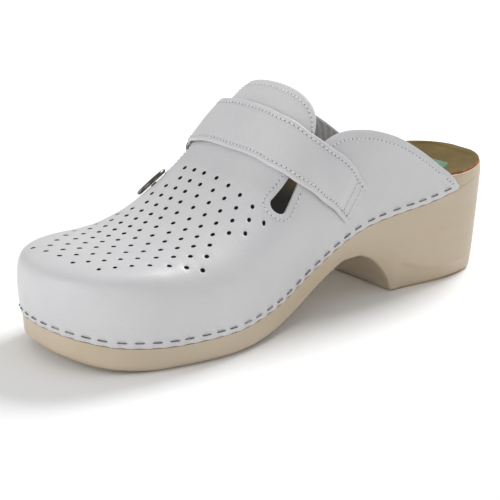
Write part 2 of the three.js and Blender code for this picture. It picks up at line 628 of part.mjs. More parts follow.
const bOfS = (s) => {
  let k = 1;
  while (k < STRAP_PATH.length - 1 && STRAP_PATH[k][1] < s) k++;
  const [b0, s0] = STRAP_PATH[k - 1], [b1, s1] = STRAP_PATH[k];
  return mix(b0, b1, (s - s0) / (s1 - s0));
};
const S_SEAM = sOfB(STRAP_SEAM), S_FOLD = sOfB(STRAP_FOLD), S_BAR = sOfB(BUCKLE_B), S_TIP = sOfB(STRAP_TIP);
// Half the strap's own width in millimetres, and the share of it that gives a wanted half width.
const strapEdge = (s, w) => onVamp(...strapPoint(bOfS(s), w), 0);
const ownHalf = (s) => strapEdge(s, 1).distanceTo(strapEdge(s, -1)) / 2;
const END_HALF = FRAME_WIDE / 2 - FRAME_R - STRAP_SIDE_CLEAR;
const KEEPER_HALF = END_HALF + KEEPER_SIDE_CLEAR;
const CHAPE_HALF = KEEPER_HALF + KEEPER_WALL + CHAPE_MARGIN;
const KNUCKLE_HALF = FRAME_WIDE / 2 - CHAPE_SIDE;
const endWidth = (s) => mix(1, END_HALF / ownHalf(s), smooth((s - S_FOLD) / (S_BAR - FRAME_LONG - S_FOLD)));
// Height of the strap's lower face: on its lining over the instep, up over the bar, down on the chape.
const OVER_BAR = BAR_HEIGHT + KNUCKLE_R + 0.45;
const ON_CHAPE = 2 * GAP + 2 * PATCH + CHAPE + GAP + 0.25;
function strapLift(s) {
  const base = 2 * GAP + 2 * SAG + STRAP_LINING, up = smooth((s - S_BAR + 20) / 16);
  const down = smooth((s - S_BAR - 3) / 9);
  return mix(mix(base, OVER_BAR, up), ON_CHAPE, down);
}
function band(s0, s1, steps, across, halfWidth, low, high, roundTip = 0) {
  const pts = [], tris = [];
  for (let i = 0; i <= steps; i++) {
    for (let j = 0; j <= across; j++) {
      const w = mix(-1, 1, j / across);
      const end = roundTip ? s1 - roundTip * (1 - Math.sqrt(max(0, 1 - w * w * 0.96))) : s1;
      const s = mix(s0, end, i / steps);
      pts.push([s, w * (typeof halfWidth === "number" ? halfWidth : halfWidth(s))]);
    }
  }
  const n = across + 1;
  for (let i = 0; i < steps; i++)
    for (let j = 0; j < across; j++) {
      const p = i * n + j;
      tris.push([p, p + n, p + n + 1], [p, p + n + 1, p + 1]);
    }
  const v = (lift) => (s, w) => {
    const [a, b] = strapPoint(bOfS(s), w);
    return onVamp(a, b, lift(s));
  };
  return sheet({ pts, tris }, v(high), v(low));
}
// Local axes on the strap's path: t towards its tip, c towards the toe, n outward.
function strapFrame(s, w = 0) {
  const p = (ss, ww) => {
    const [a, b] = strapPoint(bOfS(ss), ww);
    return onVamp(a, b, 0);
  };
  const o = p(s, w), t = p(s + 2, w).sub(p(s - 2, w)).normalize(), c0 = p(s, w + 0.2).sub(p(s, w - 0.2));
  const n = t.clone().cross(c0).normalize();
  if (n.dot(vampNormal(...strapPoint(bOfS(s), w))) < 0) n.negate();
  const c = n.clone().cross(t).normalize();
  if (c.dot(c0) < 0) c.negate();
  return { o, t, c, n };
}
const basis = ({ o, t, c, n }) => new THREE.Matrix4().makeBasis(t, c, n).setPosition(o);

// A round wire bent along points, closed or open.
function wire(points, radius, closed, sides = 10, steps = 40) {
  const corners = points.map((p) => new THREE.Vector3(...p));
  const path = new THREE.CatmullRomCurve3(corners, closed, "catmullrom", 0.12);
  const shape = new THREE.Shape(Array.from({ length: sides }, (_, k) =>
    new THREE.Vector2(radius * cos((2 * PI * k) / sides), radius * sin((2 * PI * k) / sides))));
  return new THREE.ExtrudeGeometry(shape, { steps, extrudePath: path, bevelEnabled: false });
}
const rod = (radius, length, sides = 12) =>
  new THREE.CylinderGeometry(radius, radius, length, sides); // along Y

// Hinge bar frame at rest: x towards the strap's tip, y across, z outward, origin on the bar.
const BAR_FRAME = strapFrame(S_BAR);
const FREE_FRAME = strapFrame(S_BAR - FRAME_LONG);
const BAR_AT = BAR_FRAME.o.clone().addScaledVector(BAR_FRAME.n, BAR_HEIGHT);
function buckleAxes(freeLift) {
  const freeAt = FREE_FRAME.o.clone().addScaledVector(FREE_FRAME.n, freeLift);
  const x = BAR_AT.clone().sub(freeAt).normalize();
  const z = x.clone().cross(BAR_FRAME.c).normalize();
  if (z.dot(BAR_FRAME.n) < 0) z.negate();
  const y = z.clone().cross(x).normalize();
  return { m: new THREE.Matrix4().makeBasis(x, y, z).setPosition(BAR_AT), long: BAR_AT.distanceTo(freeAt) };
}
// Highest point of the strap's top under the free bar, in the buckle's own axes.
function strapUnderFreeBar({ m, long }) {
  const inverse = m.clone().invert();
  let top = -Infinity;
  for (let s = S_BAR - FRAME_LONG - 6; s <= S_BAR - FRAME_LONG + 6; s += 0.25)
    for (let w = -1; w <= 1; w += 0.25) {
      const [a, b] = strapPoint(bOfS(s), w * endWidth(s));
      const p = onVamp(a, b, strapLift(s) + STRAP).applyMatrix4(inverse);
      if (abs(p.x + long) < FRAME_R) top = max(top, p.z);
    }
  return top;
}
// The free bar lies over the strap, lifted until it is clear across the whole width.
const BUCKLE = (() => {
  let lift = strapLift(S_BAR - FRAME_LONG) + STRAP + GAP + 0.05 + FRAME_R;
  for (let k = 0; k < 4; k++) lift += max(0, strapUnderFreeBar(buckleAxes(lift)) + FRAME_R + FREE_CLEAR);
  return buckleAxes(lift);
})();
function buckleFrame() {
  const h = FRAME_WIDE / 2, l = BUCKLE.long, r = 3.2;
  const g = wire([
    [0, 0, 0], [0, h - r, 0], [-0.9, h - 0.9, 0], [-r, h, 0], [-l / 2, h + 0.4, 0.9], [-l + r, h, 0],
    [-l + 0.9, h - 0.9, 0], [-l, h - r, 0], [-l, 0, 0], [-l, -h + r, 0], [-l + 0.9, -h + 0.9, 0],
    [-l + r, -h, 0], [-l / 2, -h - 0.4, 0.9], [-r, -h, 0], [-0.9, -h + 0.9, 0], [0, -h + r, 0],
  ], FRAME_R, true, 8, 40);
  const bar = fromGeometry(g);
  return placedSolid(bar, BUCKLE.m);
}
function placedSolid(solid, matrix) {
  return solid.transform(matrix.elements.slice());
}

// ---------------------------------------------------------------- assembly: sole
const PAST_HEEL = -10; // plan stations beyond both ends of the shoe
const PAST_TOE = 260;
const heelSlab = (end, extra, low, high) =>
  planSlab(PAST_HEEL, end, HEEL_TAPER + HEEL_TREAD_INSET - extra, low, high, 14, 4, [true, false]);
const foreSlab = (extra, low, high) => planSlab(
  FORE_TREAD[0] - extra, FORE_TREAD[1] + extra, FORE_TREAD_INSET - extra, low, high, 16, 5, [false, true]);
const heelPocketEnd = HEEL_BREAST - TREAD_SETBACK;
const pocketTop = (x) => underside(x) + TREAD + GAP;
const treadTop = (x) => underside(x) + TREAD;
let sole = woodenSole();
sole = sole.subtract(heelSlab(heelPocketEnd, GAP, (x) => underside(x) - 4, pocketTop));
sole = sole.subtract(foreSlab(GAP, (x) => underside(x) - 4, pocketTop));
const coverInset = (extra) => (x) => mix(COVER_INSET, REBATE + COVER_FROM_REBATE, rebateShare(x)) - extra;
sole = sole.subtract(
  planSlab(PAST_HEEL, PAST_TOE, coverInset(GAP), woodTop, (x, y) => woodTop(x, y) + 12, 30, 6));
sole = sole.subtract(planSlab(PAST_HEEL, PAST_TOE, FOAM_INSET - GAP, (x, y) => foamBase(x, y) - GAP,
  (x, y) => woodTop(x, y) + 9, 26, 5));
const heelTread = heelSlab(heelPocketEnd - GAP, 0, underside, treadTop);
const foreTread = foreSlab(0, underside, treadTop);
const foam = planSlab(PAST_HEEL, PAST_TOE, FOAM_INSET, foamBase, (x, y) => woodTop(x, y) - 0.02, 26, 5);
const cover = planSlab(PAST_HEEL, PAST_TOE, coverInset(0), (x, y) => woodTop(x, y) + GAP, coverTop, 30, 6);
const patchLow = (x, y) => coverTop(x, y) + 0.2;
const patch = planSlab(...HEEL_PATCH, HEEL_PATCH_INSET, patchLow, (x, y) => patchLow(x, y) + HEEL_PATCH_THICK,
  4, 4, [false, false]);

// ---------------------------------------------------------------- assembly: upper, strap and fittings
let leather = upperLeather(), lining = upperLining();
const ANCHOR_LIFT = GAP + 0.05;
const strapAnchor = band(0, S_SEAM - GAP / 2, 3, 4, 1,
  () => ANCHOR_LIFT, () => ANCHOR_LIFT + STRAP + STRAP_LINING / 2);
const strapTop = (s) => strapLift(s) + STRAP;
const strapMain = band(S_SEAM + GAP / 2, S_FOLD - GAP / 2, 16, 4, 1, strapLift, strapTop);
let strapEnd = band(S_FOLD + GAP / 2, S_TIP, 14, 6, endWidth, strapLift, strapTop, STRAP_TIP_ROUND);
const LINING_LIFT = GAP + 2 * SAG;
const strapLining = band(S_SEAM + 3, S_FOLD - 1, 14, 4, 0.9,
  () => LINING_LIFT, () => LINING_LIFT + STRAP_LINING);
const loopWidth = (s) => (KNUCKLE_HALF / ownHalf(s)) * 0.95;
const hookWidth = (s) => (KNUCKLE_HALF / ownHalf(s)) * 0.87;
const loopPatch = band(S_BAR + PATCH_FROM, S_BAR + PATCH_TO, 4, 3, loopWidth, () => GAP, () => GAP + PATCH);
const hookPatch = band(S_BAR + PATCH_FROM + 1, S_BAR + PATCH_TO - 1, 4, 3, hookWidth,
  () => 2 * GAP + PATCH, () => 2 * GAP + 2 * PATCH);
const CHAPE_LOW = 3 * GAP + 2 * PATCH;
const chapeWidth = (s) => mix(KNUCKLE_HALF, CHAPE_HALF, smooth((s - S_BAR - 3) / 5)) / ownHalf(s);
let chape = band(S_BAR + CHAPE_FROM, S_BAR + CHAPE_TO, 6, 4, chapeWidth,
  () => CHAPE_LOW, () => CHAPE_LOW + CHAPE);
const knuckle = placedSolid(fromGeometry(rod(KNUCKLE_R, 2 * KNUCKLE_HALF, 14)), BUCKLE.m);
const neck = new THREE.BoxGeometry(2 * KNUCKLE_R, 2 * KNUCKLE_HALF, CHAPE + 0.1);
const blend = placedSolid(fromGeometry(neck).translate([KNUCKLE_R + 0.1, 0, -0.9]), BUCKLE.m);
chape = chape.add(knuckle).add(blend);
chape = chape.subtract(placedSolid(fromGeometry(rod(FRAME_R + BAR_CLEAR, 30, 16)), BUCKLE.m));
const prongGap = new THREE.BoxGeometry(9, PRONG_SLOT_WIDE + 0.6, 12);
chape = chape.subtract(placedSolid(fromGeometry(prongGap).translate([-0.6, 0, 0]), BUCKLE.m));
const frameSolid = buckleFrame();
function prong() {
  const l = BUCKLE.long, ringR = FRAME_R + 0.35 + PRONG_R * 0.9;
  const collar = fromGeometry(rod(ringR, 2.6, 16)).subtract(fromGeometry(rod(FRAME_R + 0.25, 6, 16)));
  const pin = fromGeometry(wire([
    [-ringR + 0.5, 0, 1.2], [-4, 0, 4.2], [-7, 0, 4.9], [-l * 0.62, 0, 4.7],
    [-l - 1.2, 0, FRAME_R + PRONG_R + 0.25],
  ], PRONG_R, false, 8, 14));
  return placedSolid(collar.add(pin), BUCKLE.m);
}
const prongSolid = prong();
const slotBox = new THREE.BoxGeometry(PRONG_SLOT_BACK + PRONG_SLOT_TIP, PRONG_SLOT_WIDE, 14);
const slot = placedSolid(
  fromGeometry(slotBox).translate([(PRONG_SLOT_TIP - PRONG_SLOT_BACK) / 2, 0, 3]), BUCKLE.m);
strapEnd = strapEnd.subtract(slot);
function keeper() {
  const s = S_BAR + KEEPER_AT, f = strapFrame(s), m = basis(f);
  const half = KEEPER_HALF, low = CHAPE_LOW + CHAPE + 0.45, t = KEEPER_WALL;
  const high = strapLift(s - KEEPER_WIDE / 2) + STRAP + 0.4; // over the strap where it comes down from the bar
  const outer = new THREE.BoxGeometry(KEEPER_WIDE, 2 * half + 2 * t, high - low + t);
  const inner = new THREE.BoxGeometry(KEEPER_WIDE + 4, 2 * half, high - low);
  return placedSolid(fromGeometry(outer).translate([0, 0, (low + high + t) / 2])
    .subtract(fromGeometry(inner).translate([0, 0, (low + high) / 2 - 0.01])), m);
}

// Staples: crown along the edge, legs through leather and into the sole.
const staplePlaces = (() => {
  const path = [];
  const inner = INNER.filter((p) => p.x > STAPLES_FROM * PLAN_LENGTH);
  const outer = OUTER.filter((p) => p.x > STAPLES_FROM * PLAN_LENGTH).reverse();
  let s = 0;
  for (const p of [...inner, ...outer]) {
    const z = feather(p.x / PLAN_LENGTH) + STAPLE_RISE;
    if (path.length) s += hypot(p.x - path.at(-1).x, p.y - path.at(-1).y, z - path.at(-1).z);
    path.push({ ...p, z, s });
  }
  return Array.from({ length: STAPLE_COUNT }, (_, k) => {
    const want = mix(1, s - 1, k / (STAPLE_COUNT - 1));
    let j = path.findIndex((p) => p.s >= want);
    j = clamp(j, 2, path.length - 3);
    const p = path[j], t = new THREE.Vector3(path[j + 2].x - path[j - 2].x, path[j + 2].y - path[j - 2].y,
      path[j + 2].z - path[j - 2].z).normalize();
    const n = new THREE.Vector3(p.nx, p.ny, 0).normalize();
    const up = n.clone().cross(t).normalize(), x = p.x / PLAN_LENGTH;
    const q = STAPLE_RISE / (spineZ(min(x, TOE_CENTRE)) - feather(x));
    const out = BULGE * 4 * q * (1 - q);
    const o = new THREE.Vector3(p.x + p.nx * out, p.y + p.ny * out, p.z);
    return new THREE.Matrix4().makeBasis(t, up, n).setPosition(o);
  });
})();
function stapleSolid(m) {
  const h = STAPLE_CROWN / 2, w = STAPLE_WIRE, top = GAP + w, leg = -STAPLE_LEG + GAP;
  const u = new THREE.Shape([[-h, leg], [-h + w, leg], [-h + w, GAP], [h - w, GAP], [h - w, leg], [h, leg],
    [h, top], [-h, top]].map((p) => new THREE.Vector2(...p)));
  const g = new THREE.ExtrudeGeometry(u, { depth: w, bevelEnabled: false }).translate(0, 0, -w / 2)
    .rotateX(PI / 2);
  return placedSolid(fromGeometry(g), m);
}
function stapleHoles(m) {
  const h = STAPLE_CROWN / 2 - STAPLE_WIRE / 2, s = STAPLE_WIRE + STAPLE_CLEAR;
  return [-h, h].map((x) => placedSolid(
    fromGeometry(new THREE.BoxGeometry(s, s, STAPLE_LEG + 3)).translate([x, 0, -STAPLE_LEG / 2 + 1]), m));
}
const staples = staplePlaces.filter((_, k) => k % 2 === 0);
const holes = staples.flatMap(stapleHoles);
const holeSet = Manifold.union(holes);
leather = leather.subtract(holeSet);
sole = sole.subtract(holeSet);

// Ornament: an oval dish riveted through the vamp's outer side.
const ORN = (() => {
  const [a, b] = ORNAMENT_AT, o = onVamp(a, b, 0), n = vampNormal(a, b);
  const t = onVamp(a + 3, b, 0).sub(onVamp(a - 3, b, 0)).normalize();
  const c = n.clone().cross(t).normalize();
  return new THREE.Matrix4().makeBasis(t, c, n).setPosition(o);
})();
const lathe = (profile, sides) => new THREE.LatheGeometry(profile.map((p) => new THREE.Vector2(...p)), sides)
  .rotateX(PI / 2); // about Z
const dish = fromGeometry(lathe(DISH, 28)).scale([ORNAMENT_LONG / 2, ORNAMENT_HIGH / 2, 1]);
const ornament = placedSolid(dish.translate([0, 0, DISH_SEAT]), ORN);
const pinAt = (radius, length, sides, z) => // a round pin along the ornament's own axis, its middle at z
  fromGeometry(rod(radius, length, sides).rotateX(PI / 2)).translate([0, 0, z]);
const washerAt = -LEATHER - 2 * GAP - LINING - 0.9;
const rivet = placedSolid(pinAt(RIVET_R, RIVET_LONG, 12, DISH_SEAT - GAP - RIVET_LONG / 2), ORN);
const washer = placedSolid(
  pinAt(WASHER_R, WASHER, 16, washerAt).subtract(pinAt(RIVET_R + RIVET_CLEAR, 3, 12, washerAt)), ORN);
const rivetHole = placedSolid(pinAt(RIVET_R + RIVET_CLEAR, 9, 12, -2), ORN);
leather = leather.subtract(rivetHole);
lining = lining.subtract(rivetHole);

add("wooden_sole", sole, WOOD);
add("heel_tread", heelTread, RUBBER);
add("forefoot_tread", foreTread, RUBBER);
add("footbed_foam", foam, FOAM_MAT);
add("insole_cover", cover, COVER_MAT);
add("heel_patch", patch, GREEN);
add("upper_leather", leather, WHITE);
add("upper_lining", lining, GREY);
add("toe_puff", toePuff(), STIFF);
add("tab_padding", tabPadding(), FOAM_MAT);
add("strap_anchor", strapAnchor, WHITE);
add("strap", strapMain, WHITE);
add("strap_end", strapEnd, WHITE);
add("strap_lining", strapLining, GREY);
add("loop_patch", loopPatch, HOOK);
add("hook_patch", hookPatch, HOOK);
add("chape", chape, WHITE);
add("strap_keeper", keeper(), WHITE);
add("buckle_frame", frameSolid, NICKEL);
add("buckle_prong", prongSolid, NICKEL);
add("ornament", ornament, NICKEL);
add("ornament_rivet", rivet, NICKEL);
add("ornament_washer", washer, STEEL);
staples.forEach((m, k) => add(`staple_${String(k + 1).padStart(2, "0")}`, stapleSolid(m), STEEL));

// The origin is the middle of the whole clog's footprint, on the floor.
const boxes = pieces.map((p) => p.solid.boundingBox());
const middle = [0, 1].map(
  (k) => -(min(...boxes.map((b) => b.min[k])) + max(...boxes.map((b) => b.max[k]))) / 2);
for (const piece of pieces) addMesh(piece, [...middle, 0]);

export default root;
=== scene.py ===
import json
import math

import bpy
import numpy as np
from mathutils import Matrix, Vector, geometry


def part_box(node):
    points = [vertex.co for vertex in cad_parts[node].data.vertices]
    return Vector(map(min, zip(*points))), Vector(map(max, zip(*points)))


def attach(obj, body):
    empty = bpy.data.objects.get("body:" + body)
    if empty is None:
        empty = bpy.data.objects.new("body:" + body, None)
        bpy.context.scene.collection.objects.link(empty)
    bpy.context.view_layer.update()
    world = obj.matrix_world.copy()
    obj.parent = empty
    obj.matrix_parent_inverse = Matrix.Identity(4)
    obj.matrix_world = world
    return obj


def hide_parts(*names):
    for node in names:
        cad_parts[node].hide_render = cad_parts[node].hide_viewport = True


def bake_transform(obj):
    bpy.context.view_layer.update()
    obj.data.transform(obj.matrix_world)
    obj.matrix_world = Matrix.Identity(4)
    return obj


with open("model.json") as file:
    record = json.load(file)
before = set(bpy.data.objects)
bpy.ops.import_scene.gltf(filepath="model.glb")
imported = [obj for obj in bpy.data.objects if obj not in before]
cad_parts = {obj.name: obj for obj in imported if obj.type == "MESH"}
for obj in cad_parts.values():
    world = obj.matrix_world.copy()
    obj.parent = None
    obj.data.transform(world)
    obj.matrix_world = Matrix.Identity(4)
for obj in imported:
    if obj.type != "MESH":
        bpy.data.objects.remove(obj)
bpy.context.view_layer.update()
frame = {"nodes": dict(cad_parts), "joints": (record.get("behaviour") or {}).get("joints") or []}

# ---------------------------------------------------------------- the last
# The foot form that the sole is cut to and the leather is pulled over. It isn't a piece of the shoe, but its
# plan, its edge lines and its cross-sections give the sole, lining, upper and strap their shapes.
OUTLINE = np.array([
    [-7, 0.5], [-3.5, 28], [22, 39], [53, 35.5], [95, 29.3], [138, 40], [172, 51.2], [206, 46.5], [240, 37],
    [255.5, 7.5], [245, -34], [216, -42.5], [169, -46.5], [131, -51.5], [96, -44], [61, -37], [31, -35], [4, -24]])
TOE_CENTRE = 208.0  # X where the ridge ends and the toe cap fans out
FAN = 48.0  # pattern length of the fan along A
BULGE = 1.3  # how far the walls lean out
RIDGE_Y = (-6, 1)  # Y of the ridge over the instep and over the toes
SQUARE = (3.0, 5.2)  # power of the cross-section's superellipse over the instep and over the toes
BOX_CAP = 5.0  # what the toe cap adds to it


def smooth(x):
    """3t2 - 2t3 of x held between 0 and 1."""
    t = np.clip(x, 0, 1)
    return t * t * (3 - 2 * t)


def mix(a, b, t):
    """a + (b - a) t."""
    return a + (b - a) * t


def curve(knots):
    """A cubic through the knots that never overshoots: the slope at a knot is the harmonic mean of the chords
    beside it, or 0 where they turn. Held flat past both ends."""
    x, y = np.array(knots, float).T
    h, d = np.diff(x), np.diff(y) / np.diff(x)
    w1, w2 = 2 * h[1:] + h[:-1], h[1:] + 2 * h[:-1]
    turns = d[:-1] * d[1:] <= 0
    d0, d1 = np.where(turns, 1, d[:-1]), np.where(turns, 1, d[1:])
    m = np.concatenate([d[:1], np.where(turns, 0, (w1 + w2) / (w1 / d0 + w2 / d1)), d[-1:]])

    def at(q):
        """Height of the curve at q: the cubic of the two knots round it."""
        q = np.clip(q, x[0], x[-1])
        i = np.clip(np.searchsorted(x, q) - 1, 0, len(x) - 2)
        t = (q - x[i]) / h[i]
        low = (2 * t**3 - 3 * t**2 + 1) * y[i] + (t**3 - 2 * t**2 + t) * h[i] * m[i]
        return low + (3 * t**2 - 2 * t**3) * y[i + 1] + (t**3 - t**2) * h[i] * m[i + 1]

    return at


feather = curve([[-5, 54], [20, 49.4], [45, 44.4], [80, 39], [120, 25.2], [150, 15.5], [180, 11.8], [205, 11.5],
                 [230, 13.5], [256, 19.5]])  # height of the leather's lower edge along X
footbed = curve([[-5, 57.2], [20, 56], [45, 55.6], [80, 51], [120, 36.8], [150, 27], [180, 23.2], [205, 22.8],
                 [230, 25], [256, 30.5]])  # height of the footbed's rim
spine = curve([[20, 119], [80, 117], [100, 111], [120, 98], [140, 76.5], [160, 61.5], [180, 52], [200, 47.9],
               [216, 46.8]])  # height of the upper's ridge


def plan(count):
    """Closed uniform cubic B-spline of the outline: four neighbouring corners weighted by the basis cubics."""
    t = np.arange(count) / count * len(OUTLINE)
    i, u = t.astype(int), (t % 1)[:, None]
    weights = [(1 - u) ** 3, 3 * u**3 - 6 * u**2 + 4, -3 * u**3 + 3 * u**2 + 3 * u + 1, u**3]
    return sum(w * OUTLINE[(i + j - 1) % len(OUTLINE)] for j, w in enumerate(weights)) / 6


LOOP = plan(2880)
along = np.roll(LOOP, -1, 0) - np.roll(LOOP, 1, 0)
LOOP_OUT = np.stack([-along[:, 1], along[:, 0]], 1) / np.linalg.norm(along, axis=1)[:, None]
heel_at, toe_at = int(LOOP[:, 0].argmin()), int(LOOP[:, 0].argmax())
inner_ids = (heel_at + np.arange((toe_at - heel_at) % len(LOOP) + 1)) % len(LOOP)
outer_ids = ((toe_at + np.arange((heel_at - toe_at) % len(LOOP) + 1)) % len(LOOP))[::-1]
SIDES = [np.hstack([LOOP[ids], LOOP_OUT[ids]]) for ids in (inner_ids, outer_ids)]  # x, y, outward x, outward y


def side(x, outer):
    """Outline point and outward direction at X on one side, read straight between close samples."""
    s = SIDES[1 if outer else 0]
    return [np.interp(x, s[:, 0], s[:, k]) for k in (1, 2, 3)]


toe_rows = [np.array([[TOE_CENTRE, *side(TOE_CENTRE, False)]]), SIDES[0][SIDES[0][:, 0] > TOE_CENTRE],
            SIDES[1][SIDES[1][:, 0] > TOE_CENTRE][::-1], np.array([[TOE_CENTRE, *side(TOE_CENTRE, True)]])]
TOE = np.vstack(toe_rows)
TOE_RUN = np.concatenate([[0], np.cumsum(np.linalg.norm(np.diff(TOE[:, :2], axis=0), axis=1))])


def last(a, b):
    """Point of the last for pattern place (a, b): a runs along X, b is 0 on the ridge, +1 on the inner edge line
    and -1 on the outer. Each line from edge to ridge is a superellipse; past the toe centre they fan out."""
    a, b = np.broadcast_arrays(np.asarray(a, float), np.asarray(b, float))
    fan, u = a > TOE_CENTRE, (a - TOE_CENTRE) / FAN
    phi = (1 - np.where(fan, np.hypot(u, b), np.abs(b))) * np.pi / 2
    run = np.where(fan, np.arctan2(u, b) / np.pi, 0) * TOE_RUN[-1]
    body = [np.where(b >= 0, p, q) for p, q in zip(side(a, False), side(a, True))]
    fx = np.where(fan, np.interp(run, TOE_RUN, TOE[:, 0]), a)
    fy, nx, ny = [np.where(fan, np.interp(run, TOE_RUN, TOE[:, k]), body[k - 1]) for k in (1, 2, 3)]
    kx = np.where(fan, TOE_CENTRE, a)
    ky = mix(*RIDGE_Y, smooth((kx - 110) / 90))
    n = mix(*SQUARE, smooth((fx - 110) / 90)) + BOX_CAP * smooth((fx - 190) / 50)
    c, s = np.abs(np.cos(phi)), np.abs(np.sin(phi))
    rho = (c**n + s**n) ** (-1 / n)
    r, q = 1 - rho * c, rho * s
    out = BULGE * 4 * q * (1 - q)
    z = feather(fx)
    return np.stack([fx + (kx - fx) * r + nx * out, fy + (ky - fy) * r + ny * out, z + (spine(kx) - z) * q], -1)


def last_normal(a, b):
    """Outward unit normal: the cross product of central differences, taken a little inside the pattern's edge."""
    a, b = np.broadcast_arrays(np.asarray(a, float), np.clip(np.asarray(b, float), -0.99, 0.99))
    far = np.hypot((a - TOE_CENTRE) / FAN, b)
    k = np.where((a > TOE_CENTRE) & (far > 0.985), 0.985 / np.maximum(far, 1e-9), 1)
    a, b = np.where(a > TOE_CENTRE, TOE_CENTRE + (a - TOE_CENTRE) * k, a), b * k
    n = np.cross(last(a + 0.4, b) - last(a - 0.4, b), last(a, b + 0.006) - last(a, b - 0.006))
    return n / np.maximum(np.linalg.norm(n, axis=-1, keepdims=True), 1e-12)


def on_last(a, b, lift=0.0):
    """Point of the last moved out along its normal by lift."""
    return last(a, b) + last_normal(a, b) * np.asarray(lift, float)[..., None]


# ---------------------------------------------------------------- wooden sole
# One block of wood, heel and forepart together, milled to the plan, rounded at its lower edge and sprayed with a
# beige lacquer. A ledge round the top takes the leather. The block is hollowed slightly under the footbed.
EDGE_INSET = 0.5  # of the wood at the leather's lower edge
HEEL_BREAST = 64  # X where the heel block ends
HEEL_TAPER, FORE_TAPER = 4.7, 0.9  # how far the lower edge stands inside the plan
HEEL_ROUND, FORE_ROUND = 1.7, 3.4  # radius of the lower edge
LEATHER = 1.8
REBATE = LEATHER + 0.5  # depth of the ledge that the leather stands on
FOAM, FOAM_ROOM = 1.9, 0.15
RIM_ROUND = 0.9
COVER_SEAT = 0.6  # how far the cover's hollow lies below the rim
TREAD_PROUD = 0.5
CREASE_DEPTH = 1.1
LACQUER = (195, 181, 162)
GRAIN_DARK = (186, 170, 144)
underside = curve([[-6, 0], [HEEL_BREAST, 0], [66.5, 6.5], [71, 13.5], [77, 19], [85, 21.9], [94, 22], [105, 19],
                   [117, 14.2], [133, 7.4], [150, 2.6], [168, 0.4], [180, 0], [212, 0], [232, 2], [256, 9.2]])
low, high = [np.array(v) * 1000 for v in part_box("wooden_sole")]
ORIGIN = np.array([low[0] - (LOOP[:, 0].min() + EDGE_INSET), high[1] - (LOOP[:, 1].max() - EDGE_INSET), 0])


def srgb(*rgb):
    """Display colour 0-255 as the linear colour that a shader takes."""
    c = np.array(rgb, float) / 255
    return (*np.where(c <= 0.04045, c / 12.92, ((c + 0.055) / 1.055) ** 2.4), 1.0)


def finish(name, colour, second, roughness, patch=60, grain=900, depth=0.0, relief="noise", stretch=(1, 1, 1),
           metallic=0.0, coat=0.0, sheen=0.0, specular=0.5, rough_swing=0.0, contrast=(0.35, 0.65), fade=None):
    """A surface finish: two colours mixed by soft noise of `patch` per metre, and a relief of `grain` per metre
    that is `depth` millimetres deep. Both are laid in the piece's own coordinates, stretched if it has a grain.
    `fade` is (x, x, colour): the colour it turns to between two places along X, which paints shade."""
    m = bpy.data.materials.new(name)
    m.use_nodes = True
    nodes, links = m.node_tree.nodes, m.node_tree.links
    shader = nodes["Principled BSDF"]

    def part(kind, *where, **values):
        """A new shader node with those input values, read at that place."""
        node = nodes.new("ShaderNode" + kind)
        for key, value in values.items():
            node.inputs[key.replace("_", " ")].default_value = value
        for socket in where:
            links.new(socket, node.inputs["Vector"])
        return node

    def mixed(first, factor, second):
        """The colour of a socket, or a plain one, turned to a second colour by a factor."""
        node = nodes.new("ShaderNodeMix")
        node.data_type = "RGBA"
        node.inputs["B"].default_value = srgb(*second)
        links.new(factor, node.inputs["Factor"])
        if isinstance(first, tuple):
            node.inputs["A"].default_value = srgb(*first)
        else:
            links.new(first, node.inputs["A"])
        return node.outputs["Result"]

    own = part("TexCoord").outputs["Object"]
    laid = part("Mapping", own, Scale=stretch).outputs["Vector"]
    cloud = part("TexNoise", laid, Scale=patch, Detail=6).outputs["Fac"]
    ramp = part("MapRange", From_Min=contrast[0], From_Max=contrast[1])
    links.new(cloud, ramp.inputs["Value"])
    paint = mixed(colour, ramp.outputs["Result"], second)
    if fade:
        along = part("MapRange", From_Min=fade[0], From_Max=fade[1])
        along.interpolation_type = "SMOOTHSTEP"
        links.new(part("SeparateXYZ", own).outputs["X"], along.inputs["Value"])
        paint = mixed(paint, along.outputs["Result"], fade[2])
    links.new(paint, shader.inputs["Base Color"])
    for socket, value in (("Roughness", roughness), ("Metallic", metallic), ("Coat Weight", coat),
                          ("Sheen Weight", sheen), ("Specular IOR Level", specular)):
        shader.inputs[socket].default_value = value
    if rough_swing:
        swing = part("MapRange", To_Min=roughness - rough_swing, To_Max=roughness + rough_swing)
        links.new(cloud, swing.inputs["Value"])
        links.new(swing.outputs["Result"], shader.inputs["Roughness"])
    if depth:
        bump = part("Bump", Distance=depth / 1000)
        if relief == "weave":
            height = nodes.new("ShaderNodeMath")
            height.operation = "MULTIPLY"
            for direction, socket in zip(("X", "Y"), height.inputs):
                wave = part("TexWave", laid, Scale=grain, Distortion=0.6, Detail_Scale=2)
                wave.bands_direction = direction
                links.new(wave.outputs["Fac"], socket)
            raised = height.outputs["Value"]
        elif relief == "pebble":
            raised = part("TexVoronoi", laid, Scale=grain).outputs["Distance"]
        else:
            raised = part("TexNoise", laid, Scale=grain, Detail=5).outputs["Fac"]
        links.new(raised, bump.inputs["Height"])
        links.new(bump.outputs["Normal"], shader.inputs["Normal"])
    return m


